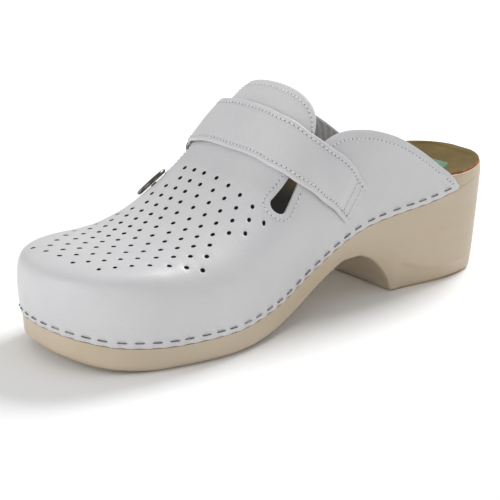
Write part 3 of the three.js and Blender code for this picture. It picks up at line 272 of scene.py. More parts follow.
def skin(name, points, faces, materials, sharp=40, which=None):
    """One mesh object from points in millimetres and arrays of triangles and quads. Faces are turned round if
    their signed volume is negative, and edges that turn by more than `sharp` degrees stay crisp."""
    points = (np.asarray(points, float).reshape(-1, 3) + ORIGIN) / 1000
    faces = [np.asarray(f, int) for f in faces if len(f)]
    tris = np.concatenate([f[:, :3] for f in faces] + [f[:, [0, 2, 3]] for f in faces if f.shape[1] == 4])
    p = points[tris]
    if np.einsum("ij,ij->i", p[:, 0], np.cross(p[:, 1], p[:, 2])).sum() < 0:
        faces = [f[:, ::-1] for f in faces]
    mesh = bpy.data.meshes.new(name)
    corners = np.concatenate([f.ravel() for f in faces]).astype(np.int32)
    sizes = np.concatenate([np.full(len(f), f.shape[1]) for f in faces])
    mesh.vertices.add(len(points))
    mesh.vertices.foreach_set("co", points.astype(np.float32).ravel())
    mesh.loops.add(len(corners))
    mesh.loops.foreach_set("vertex_index", corners)
    mesh.polygons.add(len(sizes))
    mesh.polygons.foreach_set("loop_start", np.concatenate([[0], np.cumsum(sizes)[:-1]]).astype(np.int32))
    for m in materials if isinstance(materials, list) else [materials]:
        mesh.materials.append(m)
    if which is not None:
        mesh.polygons.foreach_set("material_index", np.concatenate(which).astype(np.int32))
    mesh.update(calc_edges=True)
    mesh.polygons.foreach_set("use_smooth", np.ones(len(sizes), bool))
    mesh.set_sharp_from_angle(angle=math.radians(sharp))
    obj = bpy.data.objects.new(name, mesh)
    bpy.context.scene.collection.objects.link(obj)
    return obj


def heel_share(x):
    """1 under the heel, 0 under the ball."""
    return smooth((112 - x) / 40)


def wood_bottom(x):
    """Underside of the wood along X."""
    return underside(x) + TREAD_PROUD


def ledge_share(x):
    """0 on the bare heel, 1 where the leather stands round the sole."""
    return smooth((x - 23) / 11)


STATIONS = 300
share = np.linspace(0, 1, STATIONS)
station_x = mix(SIDES[0][0, 0], SIDES[0][-1, 0], mix(share, (1 - np.cos(np.pi * share)) / 2, 0.75))
plan_in = np.stack([station_x, *side(station_x, False)], 1)
plan_out = np.stack([station_x, *side(station_x, True)], 1)
round_plan = np.vstack([plan_in, plan_out[-2:0:-1]])  # once round the sole


def wood_ring(inset, z):
    """A line round the sole, `inset` millimetres inside the plan, at height z of X."""
    x = round_plan[:, 0]
    p = round_plan[:, :2] - round_plan[:, 2:] * inset(x)[:, None]
    return np.column_stack([p, z(p[:, 0], x)])


crease_height = curve([[12, 4.5], [30, 5.0], [46, 7.5], [60, 13.0]])  # of the soft line above the heel's base


def crease(x, t):
    """The heel is rasped in by CREASE_DEPTH below a soft line that rises towards the breast, fading at both ends."""
    z = t * (feather(x) - wood_bottom(x))
    ends = smooth((63 - x) / 5) * smooth((x - 6) / 14)
    return CREASE_DEPTH * ends * smooth((crease_height(x) - z) / 1.5 + 0.5)


TOP_BAND = 0.35  # height left for the chamfer at the leather's lower edge
taper = lambda x: mix(FORE_TAPER, HEEL_TAPER, heel_share(x))
edge_round = lambda x: mix(FORE_ROUND, HEEL_ROUND, heel_share(x))
rim_inset = lambda x: mix(0.7, REBATE, ledge_share(x))
rim_foot = lambda x: footbed(x) - COVER_SEAT - RIM_ROUND
sole_rings = []
for turn in np.radians(np.linspace(0, 90, 8)):  # the rounded lower edge
    sole_rings.append(wood_ring(lambda x: taper(x) + edge_round(x) * (1 - np.sin(turn)) + crease(x, 0),
                                lambda px, x: wood_bottom(px) + edge_round(x) * (1 - np.cos(turn))))
for t in np.linspace(0.03, 1, 34):  # the wall
    sole_rings.append(wood_ring(lambda x: mix(taper(x), EDGE_INSET, t**0.8) + crease(x, t),
                                lambda px, x: mix(wood_bottom(x) + edge_round(x), feather(x) - TOP_BAND, t)))
sole_rings.append(wood_ring(lambda x: mix(0.6, 1.1, ledge_share(x)), lambda px, x: feather(x) - 0.1))
for t in np.linspace(0, 1, 7):  # behind the leather, up to the rim
    sole_rings.append(wood_ring(rim_inset, lambda px, x: mix(feather(x), rim_foot(x), t)))
for turn in np.radians(np.linspace(22.5, 90, 4)):  # the rounded rim
    sole_rings.append(wood_ring(lambda x: rim_inset(x) + RIM_ROUND * (1 - np.cos(turn)),
                                lambda px, x: rim_foot(px) + RIM_ROUND * np.sin(turn)))


def loft_faces(rows, columns, start=0, wrap=True):
    """Quads between neighbouring rows of a grid of points numbered row by row; the columns may close on themselves."""
    i, j = np.meshgrid(np.arange(rows - 1), np.arange(columns if wrap else columns - 1), indexing="ij")
    i, j, k = i.ravel(), j.ravel(), (j.ravel() + 1) % columns
    return start + np.stack([i * columns + j, i * columns + k, (i + 1) * columns + k, (i + 1) * columns + j], 1)


def lid(ring_start, ring, new_start, across, z):
    """Points and faces of a lid inside one line round the sole: straight rows from the inner to the outer side at
    each station, at heights z of (x, y). The two end stations are single points, with triangles round them."""
    n, m = len(round_plan), across - 1
    inner, outer = ring[1 : STATIONS - 1, None, :2], ring[: STATIONS - 1 - n : -1][:, None, :2]
    mid = mix(inner, outer, np.linspace(0, 1, across + 1)[None, 1:-1, None])
    pts = np.concatenate([mid, z(mid[..., 0], mid[..., 1])[..., None]], -1).reshape(-1, 3)
    left = ring_start + np.arange(1, STATIONS - 1)
    right = ring_start + n - np.arange(1, STATIONS - 1)
    inside = new_start + np.arange((STATIONS - 2) * m).reshape(-1, m)
    table = np.column_stack([left, inside, right])
    quads = np.stack([table[:-1, :-1], table[:-1, 1:], table[1:, 1:], table[1:, :-1]], -1).reshape(-1, 4)
    ends = []
    for tip, row in ((ring_start, table[0]), (ring_start + STATIONS - 1, table[-1][::-1])):
        ends.append(np.stack([np.full(len(row) - 1, tip), row[1:], row[:-1]], 1))
    return pts, quads, np.vstack(ends)


def dip(x, y):
    """How far the footbed sinks below its rim: a parabola across, deeper at the heel, fading at both ends."""
    x = np.clip(x, -4, 252)
    a, b = side(x, False)[0], side(x, True)[0]
    u = np.clip((2 * y - a - b) / (a - b), -1, 1)
    return mix(3.4, 1.6, smooth((x - 60) / 70)) * (1 - u * u) * smooth((x + 4) / 24) * smooth((252 - x) / 26)


def wood_top(x, y):
    """Bottom of the hollow that the cover lies in."""
    return footbed(x) - COVER_SEAT - dip(x, y)


def hollow(x, y):
    """The milled top of the wood: the cover's hollow, with a pocket for the foam that is full depth 8.5 mm in."""
    a, b = side(x, False)[0], side(x, True)[0]
    near = np.minimum(np.minimum(a - y, y - b), np.minimum(x - LOOP[:, 0].min(), LOOP[:, 0].max() - x))
    return wood_top(x, y) - (FOAM + FOAM_ROOM) * smooth((near - 5.5) / 3) - 0.03


ring_points = np.array(sole_rings)
body_points = ring_points.reshape(-1, 3)
top_start = len(body_points) - len(round_plan)
low_pts, low_quads, low_tris = lid(0, ring_points[0], len(body_points), 26, lambda x, y: wood_bottom(x))
top_pts, top_quads, top_tris = lid(top_start, ring_points[-1], len(body_points) + len(low_pts), 30, hollow)
sole_faces = [loft_faces(len(sole_rings), len(round_plan)), low_quads, top_quads[:, ::-1], low_tris, top_tris[:, ::-1]]
lacquer = finish("beige_lacquer_on_wood", LACQUER, GRAIN_DARK, 0.5, patch=34, grain=260, depth=0.05,
                 stretch=(0.22, 1, 1), coat=0.12, rough_swing=0.05)
sole = skin("sole_block", np.vstack([body_points, low_pts, top_pts]), sole_faces, lacquer, sharp=60)
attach(sole, "clog")
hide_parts("wooden_sole")


# ---------------------------------------------------------------- treads, footbed foam, cover and heel patch
# Two rubber treads are glued into the underside. On top, a foam layer and a suede-like cover are glued into the
# hollow, the cover's edge turned up against the rim, with a plain green cloth patch at the heel.
TREAD = 1.9
COVER, GAP = 1.3, 0.3  # GAP is the room for glue between two layers
PRESSED = 0.5  # how much thinner the cover is worn inside its rim
PATCH_FROM, PATCH_TO = 14, 34  # X of the heel patch


def layer(name, ends, inset, bottom, top, edge, materials, steps=150, across=40):
    """A flat layer between two X stations, `inset` inside the plan. Rows run across it, closer together near its
    edges, where the top falls away on a quarter circle of radius `edge`. Its rim takes the last material."""
    lines = []
    for s in SIDES:
        p = s[:, :2] - s[:, 2:] * inset(s[:, 0])[:, None]
        keep = p[:, 0] > np.concatenate([[-1e9], np.maximum.accumulate(p[:, 0])[:-1]])
        lines.append(p[keep])
    x0 = max(ends[0], lines[0][0, 0], lines[1][0, 0]) + 0.01
    x1 = min(ends[1], lines[0][-1, 0], lines[1][-1, 0]) - 0.01
    x = mix(x0, x1, (1 - np.cos(np.pi * np.linspace(0, 1, steps))) / 2)[:, None]
    yi, yo = [np.interp(x, p[:, 0], p[:, 1]) for p in lines]
    t = (1 - np.cos(np.pi * np.linspace(0, 1, across)))[None, :] / 2
    y = mix(yo, yi, t)
    x = np.broadcast_to(x, y.shape)
    near = np.minimum(np.minimum(y - yo, yi - y), np.minimum(x - x0, x1 - x))
    fall = edge * (1 - np.sqrt(1 - (1 - np.clip(near / edge, 0, 1)) ** 2))
    hi = np.stack([x, y, top(x, y) - fall], -1).reshape(-1, 3)
    lo = np.stack([x, y, bottom(x, y)], -1).reshape(-1, 3)
    n = len(hi)
    grid = loft_faces(steps, across, wrap=False)
    rim = np.concatenate([np.arange(across), np.arange(2 * across - 1, steps * across, across),
                          np.arange(steps * across - 2, (steps - 1) * across - 1, -1),
                          np.arange((steps - 2) * across, 0, -across)])
    nxt = np.roll(rim, -1)
    walls = np.stack([nxt, rim, rim + n, nxt + n], 1)
    last_one = len(materials) - 1
    outer = np.where(near.ravel()[grid].max(1) < 0.8, last_one, 0)
    return skin(name, np.vstack([hi, lo]), [grid, grid[:, ::-1] + n, walls], materials, sharp=50,
                which=[outer, outer, np.full(len(walls), last_one)])


rubber = finish("tread_rubber", (158, 142, 116), (148, 131, 106), 0.78, patch=50, grain=420, depth=0.25,
                relief="pebble")
heel_tread = layer("heel_tread_rubber", (-10, 61.7), lambda x: HEEL_TAPER + 1.6 + 0 * x,
                   lambda x, y: underside(x) + TREAD, lambda x, y: underside(x) + 0 * y, 0.001, [rubber], 60, 24)
fore_tread = layer("forefoot_tread_rubber", (150, 251.7), lambda x: 4.2 + 0 * x,
                   lambda x, y: underside(x) + TREAD, lambda x, y: underside(x) + 0 * y, 0.001, [rubber], 80, 30)
for tread, node in ((heel_tread, "heel_tread"), (fore_tread, "forefoot_tread")):
    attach(tread, "clog")
    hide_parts(node)

foam_stuff = finish("footbed_foam", (214, 206, 188), (202, 194, 174), 0.95, patch=300, grain=1400, depth=0.15)
foam = layer("footbed_foam_layer", (-10, 260), lambda x: 9.0 + 0 * x, lambda x, y: wood_top(x, y) - FOAM,
             lambda x, y: wood_top(x, y) - 0.02, 0.6, [foam_stuff], 90, 26)
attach(foam, "clog")
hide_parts("footbed_foam")

SHADE_FROM, SHADE_TO = [(v + ORIGIN[0]) / 1000 for v in (64, 100)]  # painted shade under the vamp: the cover turns near black towards the toes
suede = finish("olive_suede_and_painted_shade", (116, 97, 52), (98, 81, 38), 0.9, patch=70, grain=1500, depth=0.12, sheen=0.08,
               contrast=(0.3, 0.7), specular=0.2, fade=(SHADE_FROM, SHADE_TO, (15, 11, 7)))


def cover_top(x, y):
    """The cover lies in the hollow and is worn thinner inside a soft rim."""
    a, b = side(x, False)[0], side(x, True)[0]
    near = np.minimum(np.minimum(a - y, y - b), x - LOOP[:, 0].min())
    return wood_top(x, y) + GAP + COVER - PRESSED * smooth((near - 5.0) / 2.2)


cut_edge = finish("insole_cut_edge", (150, 98, 48), (128, 80, 36), 0.9, patch=300, grain=1400, depth=0.1)
cover = layer("insole_cover_suede", (-10, 260), lambda x: mix(1.25, REBATE + 2.1, ledge_share(x)),
              lambda x, y: wood_top(x, y) + 0.05, cover_top, 0.9, [suede, cut_edge], 170, 60)
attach(cover, "clog")
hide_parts("insole_cover")

cloth = finish("green_patch_cloth", (112, 150, 126), (98, 136, 112), 0.85, patch=160, grain=1100, depth=0.08,
               relief="weave")
patch = layer("heel_patch_cloth", (PATCH_FROM, PATCH_TO), lambda x: 17.0 + 0 * x, lambda x, y: cover_top(x, y) + 0.02,
              lambda x, y: cover_top(x, y) + 0.4, 0.4, [cloth], 50, 40)
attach(patch, "clog")
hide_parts("heel_patch")


# ---------------------------------------------------------------- cutting the upper
# The upper is cut from one hide: a vamp with a tab over the instep and a wing each side, a slit with a round end
# beside the tab, and rows of small punched holes over the toes. Lining and leather share the pattern.
wing_top = curve([[22, 1.04], [27, 0.985], [32, 0.925], [41, 0.85], [51.5, 0.77], [65, 0.69], [75, 0.65],
                  [86, 0.615], [98.5, 0.575], [109.6, 0.555], [116, 0.545], [145, 0.535]])
tab_edge = curve([[0, 108.2], [0.2, 108.4], [0.36, 108], [0.42, 108.6], [0.46, 110.2], [0.49, 113], [0.505, 117],
                  [0.515, 123], [0.53, 140]])
TEAR, TEAR_R = (142.4, 0.529), 4.5
NECK, NECK_R = (124.6, 0.537), 1.8
MOUTH, MOUTH_R = (110.0, 0.53), 2.0
WING_BACK = 25.6
SCALE = FAN  # one unit of b in the flat pattern that is triangulated
OVER = np.array([1.08, 82])  # millimetres over the surface per unit of a and of b, about
TO_TAB, TO_WING = 1 / 1.05, 1 / 90  # units of a and of b per millimetre at the tab's and the wings' edges


def flat_place(a, m):
    """Millimetres on the flat leather beside the tab, where the pattern's two directions aren't square."""
    return a * 1.25 + m * 58, m * 81


def pattern_place(x, y):
    """The reverse of flat_place."""
    return (x - 58 * y / 81) / 1.25, y / 81


SLIT = np.array([[*flat_place(*c), r] for c, r in ((MOUTH, MOUTH_R), (NECK, NECK_R), (TEAR, TEAR_R))])


def slit_distance(a, m):
    """Distance outside the slit: two tapered round bars, from its mouth to its neck and on to its round end."""
    x, y = flat_place(a, m)
    out = []
    for p, q in ((SLIT[0], SLIT[1]), (SLIT[1], SLIT[2])):
        d = q[:2] - p[:2]
        t = np.clip(((x - p[0]) * d[0] + (y - p[1]) * d[1]) / (d @ d), 0, 1)
        out.append(np.hypot(x - mix(p[0], q[0], t), y - mix(p[1], q[1], t)) - mix(p[2], q[2], t))
    return np.minimum(*out)


def opening_line(inset=0.0):
    """One side's edge from the wing's tip to the middle of the tab, as (a, |b|), `inset` millimetres inside."""
    x = np.arange(SLIT[0, 0], SLIT[2, 0], 0.8)
    middle, half = np.interp(x, SLIT[:, 0], SLIT[:, 1]), np.interp(x, SLIT[:, 0], SLIT[:, 2]) + inset
    low_a, low_m = pattern_place(x, middle + half)
    up_a, up_m = [v[::-1] for v in pattern_place(x, middle - half)]
    a = np.arange(WING_BACK, low_a[-1], 1.0)
    wing = wing_top(a) + inset * TO_WING
    wing = np.maximum(wing, np.where(a > low_a[0], np.interp(a, low_a, low_m), 0))
    turn = np.radians(np.linspace(90, -90, 30))
    round_end = np.column_stack(pattern_place(SLIT[2, 0] + (TEAR_R + inset) * np.cos(turn),
                                              SLIT[2, 1] + (TEAR_R + inset) * np.sin(turn)))
    keep = up_a > tab_edge(up_m) + inset * TO_TAB
    upper = np.column_stack([up_a, up_m])[keep]
    m = np.linspace(upper[-1, 1] - 0.001, 0, 46)
    tab = np.column_stack([tab_edge(m) + inset * TO_TAB, m])
    return np.vstack([np.column_stack([a, np.minimum(wing, 1)]), round_end, upper, tab])


def inside_leather(a, b, inset=0.0):
    """True where there is leather: outside the foot's opening and the slits, and above the edge line."""
    m = np.abs(b)
    opening = (a < tab_edge(m) + inset * TO_TAB) & (m < wing_top(a) + inset * TO_WING)
    rim = np.where(a > TOE_CENTRE, np.hypot((a - TOE_CENTRE) / FAN, b), m)
    return (slit_distance(a, m) > inset) & ~opening & (rim < 1) & (a > WING_BACK - 0.3)


def tidy_line(line, spacing):
    """The same line with its points evenly spaced in the flat pattern."""
    flat = line * [1, SCALE]
    run = np.concatenate([[0], np.cumsum(np.linalg.norm(np.diff(flat, axis=0), axis=1))])
    want = np.linspace(0, run[-1], max(2, int(run[-1] / spacing)))
    return np.column_stack([np.interp(want, run, line[:, k]) for k in (0, 1)])


def whole_edge(low_edge, inset, spacing):
    """The whole cut line as one loop: up the inner wing's edge to the tab, down the outer one, round the lower
    edge. low_edge(a) is |b| of the lower edge along the wings, and its value past the toe centre is the fan's."""
    line = opening_line(inset)
    keep = line[:, 1] < low_edge(line[:, 0])
    line = tidy_line(line[keep], spacing)
    a = np.arange(line[0, 0] + 0.8, TOE_CENTRE, 1.5)
    th = np.radians(np.linspace(180, 0, 90))
    r = low_edge(np.full(90, TOE_CENTRE))
    fan = np.column_stack([TOE_CENTRE + FAN * r * np.sin(th), r * np.cos(th)])
    outer = np.column_stack([a, -low_edge(a)])
    inner = np.column_stack([a, low_edge(a)])
    return np.vstack([line[:-1], (line * [1, -1])[::-1], outer, fan, inner[::-1]])


# the punched holes: staggered rows across the vamp, set by distance over the surface
HOLE_R, HOLE_SIDES = 1.2, 10
ROWS, FIRST_ROW = 15, 150.0
ROW_PITCH, HOLE_PITCH = 6.5, 10.3
CROSS_POINTS = 641
punched = curve([[148, 0.60], [158, 0.545], [164, 0.49], [169.5, 0.435], [174, 0.37], [180, 0.43], [186, 0.49],
                 [192, 0.535], [197.6, 0.51], [203.5, 0.475], [209, 0.44], [213, 0.41], [217, 0.375], [222, 0.32],
                 [226, 0.33], [229, 0.1]])
ridge_a = np.linspace(120, 250, 1300)
ridge_run = np.concatenate([[0], np.cumsum(np.linalg.norm(np.diff(last(ridge_a, 0 * ridge_a), axis=0), axis=1))])
hole_list = []
for row in range(ROWS):
    a_row = np.interp(np.interp(FIRST_ROW, ridge_a, ridge_run) + row * ROW_PITCH, ridge_run, ridge_a)
    b_line = np.linspace(-0.8, 0.8, CROSS_POINTS)
    over = last(np.full(CROSS_POINTS, min(a_row, TOE_CENTRE - 0.1)), b_line)
    run = np.concatenate([[0], np.cumsum(np.linalg.norm(np.diff(over, axis=0), axis=1))])
    drift = 4.7 * ((row - 6) / 6) ** 2 - 1.7  # the rows wander a little as the leather is stretched over the last
    w = (np.arange(-7, 8) + 0.5 * (row % 2)) * HOLE_PITCH - 0.6 + drift
    w = np.where(w < -6, -6 + (w + 6) * 0.74, w)  # closer on the outer side
    lean = mix(3.8, 1.0, smooth((a_row - 160) / 40)) * smooth((w + 2) / 36)  # and they lean forward on the inner
    hole_list.append(np.column_stack([a_row + lean, np.interp(run[CROSS_POINTS // 2] + w, run, b_line)]))
holes = np.vstack(hole_list)
limit = punched(holes[:, 0])
holes = holes[(holes[:, 1] > -limit) & (holes[:, 1] < limit - 0.2 * smooth((holes[:, 0] - 223) / 2))]
at_ornament = np.hypot((holes[:, 0] - 157) * 1.1, (holes[:, 1] + 0.49) * 78) < 12.5
at_tear = slit_distance(holes[:, 0], np.abs(holes[:, 1])) < 6
holes = holes[~at_ornament & ~at_tear]
stretch_a = np.linalg.norm(last(holes[:, 0] + 0.5, holes[:, 1]) - last(holes[:, 0] - 0.5, holes[:, 1]), axis=1)
across = last(holes[:, 0], holes[:, 1] + 0.01) - last(holes[:, 0], holes[:, 1] - 0.01)
stretch_b = np.linalg.norm(across, axis=1) / 0.02


def hole_rings(radius):
    """Circles of that radius in millimetres round every hole, as pattern places."""
    th = np.arange(HOLE_SIDES) / HOLE_SIDES * 2 * np.pi
    return np.stack([holes[:, None, 0] + radius * np.cos(th) / stretch_a[:, None],
                     holes[:, None, 1] + radius * np.sin(th) / stretch_b[:, None]], -1)


def hole_distance(a, b):
    """Distance in millimetres to the nearest hole's middle."""
    da = (a[:, None] - holes[None, :, 0]) * stretch_a
    db = (b[:, None] - holes[None, :, 1]) * stretch_b
    return np.hypot(da, db).min(1)


def edge_distance(a, b, line):
    """Distance over the surface to the nearest point of a cut line, about."""
    return np.hypot((a[:, None] - line[None, :, 0]) * OVER[0], (b[:, None] - line[None, :, 1]) * OVER[1]).min(1)


def cut_out(edge, step_a, step_b, keep):
    """Triangles of the cut pattern: a Delaunay triangulation of the cut line, the holes and an even filling of
    points, without the triangles that lie in the opening, the slits or a hole."""
    ring, outer_ring = hole_rings(HOLE_R), hole_rings(HOLE_R + 0.8)
    a, b = np.meshgrid(np.arange(WING_BACK, TOE_CENTRE + FAN, step_a), np.arange(-0.995, 0.995, step_b))
    a = a + (np.arange(len(a)) % 2)[:, None] * step_a / 2
    fill = np.column_stack([a.ravel(), b.ravel()])
    fill = fill[keep(fill[:, 0], fill[:, 1])]
    fill = fill[hole_distance(fill[:, 0], fill[:, 1]) > HOLE_R + 1.4]
    fill = fill[edge_distance(fill[:, 0], fill[:, 1], edge) > 0.9]
    hem = tidy_line(np.vstack([edge, edge[:1]]), 0.7)[:-1]
    way = (np.roll(hem, -1, 0) - np.roll(hem, 1, 0)) * OVER
    outward = np.stack([way[:, 1], -way[:, 0]], 1) / np.maximum(np.linalg.norm(way, axis=1), 1e-9)[:, None]
    second = np.vstack([hem + outward * 0.5 / OVER, hem - outward * 0.5 / OVER])  # 0.5 mm from the cut line
    second = second[keep(second[:, 0], second[:, 1])]
    second = second[edge_distance(second[:, 0], second[:, 1], edge) > 0.38]
    points = np.vstack([edge, ring.reshape(-1, 2), outer_ring.reshape(-1, 2), second, fill])
    n, k = len(edge), np.arange(HOLE_SIDES)[None, :]
    start = n + np.arange(len(holes))[:, None] * HOLE_SIDES
    lines = [np.column_stack([np.arange(n), (np.arange(n) + 1) % n]),
             np.stack([start + k, start + (k + 1) % HOLE_SIDES], -1).reshape(-1, 2)]
    cut = geometry.delaunay_2d_cdt((points * [1, SCALE]).tolist(), np.vstack(lines).tolist(), [], 0, 1e-6)
    flat = np.array([tuple(v) for v in cut[0]]) / [1, SCALE]
    tris = np.array([f for f in cut[2] if len(f) == 3])
    mid = flat[tris].mean(1)
    tris = tris[keep(mid[:, 0], mid[:, 1]) & (hole_distance(mid[:, 0], mid[:, 1]) > HOLE_R * 0.93)]
    used, tris = np.unique(tris, return_inverse=True)
    return flat[used], tris.reshape(-1, 3)


def plate(name, flat, tris, top, bottom, materials, sharp=40):
    """A closed sheet over a cut pattern, between a top and a bottom surface, with a wall along every free edge.
    The walls round the holes take the second material where there is one: painted shade for the holes."""
    n = len(flat)
    sides = np.concatenate([tris[:, [0, 1]], tris[:, [1, 2]], tris[:, [2, 0]]])
    key, back = sides[:, 0] * n + sides[:, 1], sides[:, 1] * n + sides[:, 0]
    free = sides[~np.isin(key, back)]
    wall = np.stack([free[:, 1], free[:, 0], free[:, 0] + n, free[:, 1] + n], 1)
    in_hole = (hole_distance(flat[free[:, 0], 0], flat[free[:, 0], 1]) < HOLE_R + 0.3).astype(int)
    which = [np.zeros(len(tris)), np.zeros(len(tris)), in_hole if len(materials) > 1 else np.zeros(len(wall))]
    return skin(name, np.vstack([top, bottom]), [tris, tris[:, ::-1] + n, wall], materials, sharp, which)


# ---------------------------------------------------------------- lining, toe stiffener and tab padding
# A grey knitted lining is glued inside the leather and punched with it. Between them lie a stiffener round the
# toe and a soft pad under the tab.
LINING, PUFF, PAD = 0.8, 1.0, 1.6  # thicknesses
SAG = 0.12  # how far a flat face between two points may stray from the curve
PAD_FROM, PAD_TO, PAD_HALF = 111.5, 129.0, 0.38  # a from and to, and half the pad's width in b


def lining_depth(a, b):
    """Depth of the lining's face under the leather's: deeper over the stiffener and the tab's pad."""
    puff = smooth((a - 196) / 8) * (PUFF + GAP + SAG)
    pad = smooth((140 - a) / 8) * smooth((0.5 - np.abs(b)) / 0.08) * (PAD + GAP)
    return LEATHER + 0.15 + puff + pad


probe_a, probe_b = np.meshgrid(np.linspace(WING_BACK, TOE_CENTRE, 120), np.linspace(0.3, 1, 200), indexing="ij")
probe = last(probe_a, probe_b)[..., 2] - footbed(probe_a) - 1.2
low_b = probe_b[np.arange(120), np.clip((probe > 0).sum(1) - 1, 0, 199)]
lining_low = lambda a: np.interp(a, probe_a[:, 0], low_b)
# The walls of the punched holes are coloured near black: painted shade for the dark inside each hole.
painted_hole_shade = finish("punched_hole_wall_painted_shade", (52, 48, 46), (40, 38, 36), 0.9, patch=400)
knit = finish("grey_knit_lining", (206, 206, 206), (190, 190, 191), 0.95, patch=220, grain=800, depth=0.2,
              relief="weave", sheen=0.2)
lining_edge = whole_edge(lining_low, 1.0, 1.4)


def lining_keep(a, b):
    """Inside the leather's edges and above the footbed's rim."""
    rim = np.where(a > TOE_CENTRE, np.hypot((a - TOE_CENTRE) / FAN, b), np.abs(b))
    return inside_leather(a, b, 1.0) & (rim < lining_low(np.minimum(a, TOE_CENTRE)))


lining_flat, lining_tris = cut_out(lining_edge, 3.4, 0.042, lining_keep)
lining_at = lining_depth(*lining_flat.T)
lining = plate("knit_lining", lining_flat, lining_tris, on_last(*lining_flat.T, -lining_at),
               on_last(*lining_flat.T, -lining_at - LINING), [knit, painted_hole_shade])
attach(lining, "clog")
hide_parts("upper_lining")

stiff = finish("toe_stiffener", (92, 86, 78), (80, 75, 68), 0.9, patch=200, grain=700, depth=0.1)
puff_turn, puff_share = np.meshgrid(np.radians(np.linspace(0, 180, 60)), np.linspace(0.36, 0.78, 24), indexing="ij")
puff_flat = np.column_stack([(TOE_CENTRE + FAN * puff_share * np.sin(puff_turn) + 0.02).ravel(),
                             (puff_share * np.cos(puff_turn)).ravel()])


def halved(quads):
    """Each quad as two triangles."""
    return np.vstack([quads[:, [0, 1, 2]], quads[:, [0, 2, 3]]])


puff = plate("toe_stiffener_cap", puff_flat, halved(loft_faces(60, 24, wrap=False)),
             on_last(*puff_flat.T, -LEATHER - 0.2), on_last(*puff_flat.T, -LEATHER - 0.2 - PUFF), [stiff])
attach(puff, "clog")
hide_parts("toe_puff")

pad_a, pad_b = [v.ravel() for v in np.meshgrid(np.linspace(PAD_FROM, PAD_TO, 30),
                                               np.linspace(-PAD_HALF, PAD_HALF, 60), indexing="ij")]
pad_share = (2 * pad_a - PAD_FROM - PAD_TO) / (PAD_TO - PAD_FROM)  # -1 at its rear edge, +1 at its front
plump = np.sqrt(np.clip(1 - pad_share**2, 0, 1) * np.clip(1 - (pad_b / PAD_HALF) ** 2, 0, 1))
pad_mid, pad_half = -LEATHER - 0.2 - PAD / 2, (0.15 + 0.85 * plump) * (PAD / 2 - 0.05)
pad = plate("tab_pad", np.column_stack([pad_a, pad_b]), halved(loft_faces(30, 60, wrap=False)),
            on_last(pad_a, pad_b, pad_mid + pad_half), on_last(pad_a, pad_b, pad_mid - pad_half), [foam_stuff])
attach(pad, "clog")
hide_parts("tab_padding")


# ---------------------------------------------------------------- leather upper
# Smooth white cowhide, 1.8 mm, pulled over the last and down to the ledge of the sole. Its cut edges are slightly
# rounded, it is drawn in at each staple and stands out a little between them.
STAPLES, STAPLE_RISE, STAPLES_FROM = 64, 2.9, 34.0
rows_in = SIDES[0][SIDES[0][:, 0] > STAPLES_FROM]
rows_out = SIDES[1][SIDES[1][:, 0] > STAPLES_FROM][::-1]
edge_rows = np.vstack([rows_in, rows_out])
edge_xyz = np.column_stack([edge_rows[:, :2], feather(edge_rows[:, 0]) + STAPLE_RISE])
edge_run = np.concatenate([[0], np.cumsum(np.linalg.norm(np.diff(edge_xyz, axis=0), axis=1))])
staple_runs = mix(1.0, edge_run[-1] - 1.0, np.arange(STAPLES) / (STAPLES - 1))
staple_pitch = staple_runs[1] - staple_runs[0]


def run_of(a, b):
    """Distance along the lower edge, from the inner wing round the toe, of the edge point below (a, b)."""
    k = len(rows_in)
    inner = np.interp(a, rows_in[:, 0], edge_run[:k])
    outer = np.interp(a, rows_out[::-1, 0], edge_run[k:][::-1])
    starts = [np.interp(TOE_CENTRE, rows_in[:, 0], edge_run[:k]),
              np.interp(TOE_CENTRE, rows_out[::-1, 0], edge_run[k:][::-1])]
    fan = mix(*starts, np.arctan2((a - TOE_CENTRE) / FAN, b) / np.pi)
    return np.where(a > TOE_CENTRE, fan, np.where(b >= 0, inner, outer))


def pull(a, b):
    """How far the leather is drawn in or stands out near its lower edge: a cosine of the staples' pitch that
    fades out over the lowest seventh of the pattern."""
    rim = np.where(a > TOE_CENTRE, np.hypot((a - TOE_CENTRE) / FAN, b), np.abs(b))
    wave = -np.cos(2 * np.pi * (run_of(a, b) - 1.0) / staple_pitch)
    return (0.3 * wave - 0.06) * smooth((rim - 0.86) / 0.12) * smooth((a - 30) / 6)


upper_edge = whole_edge(np.ones_like, 0.0, 0.9)
upper_flat, upper_tris = cut_out(upper_edge, 1.9, 0.026, inside_leather)
a, b = upper_flat.T
at_edge = (1 - np.clip(edge_distance(a, b, upper_edge) / 0.6, 0, 1)) ** 2
at_hole = (1 - np.clip((hole_distance(a, b) - HOLE_R) / 0.82, 0, 1)) ** 2
drawn = pull(a, b)
upper_top = on_last(a, b, -0.38 * at_edge - 0.34 * at_hole + drawn)
upper_bottom = on_last(a, b, -LEATHER + 0.25 * at_edge + drawn * 0.3)
hide = finish("white_leather", (205, 205, 206), (199, 199, 201), 0.42, patch=26, grain=1100, depth=0.06,
              relief="pebble", specular=0.45, rough_swing=0.05)
# the walls of its punched holes take the painted hole shade
vamp = plate("leather_vamp", upper_flat, upper_tris, upper_top, upper_bottom, [hide, painted_hole_shade], sharp=48)
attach(vamp, "clog")
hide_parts("upper_leather")


# ---------------------------------------------------------------- staples
# Bright wire staples, 4.6 mm across, driven through the leather into the wood from one wing round the toe to the
# other, with their crowns lying along the edge. All of them are one piece here, as they are all alike.
CROWN, WIRE, LEG = 4.6, 0.55, 5.0
CROWN_RISE, WIRE_CORNER = 0.3, 0.55  # height of the crown's middle line, and radius of its corners


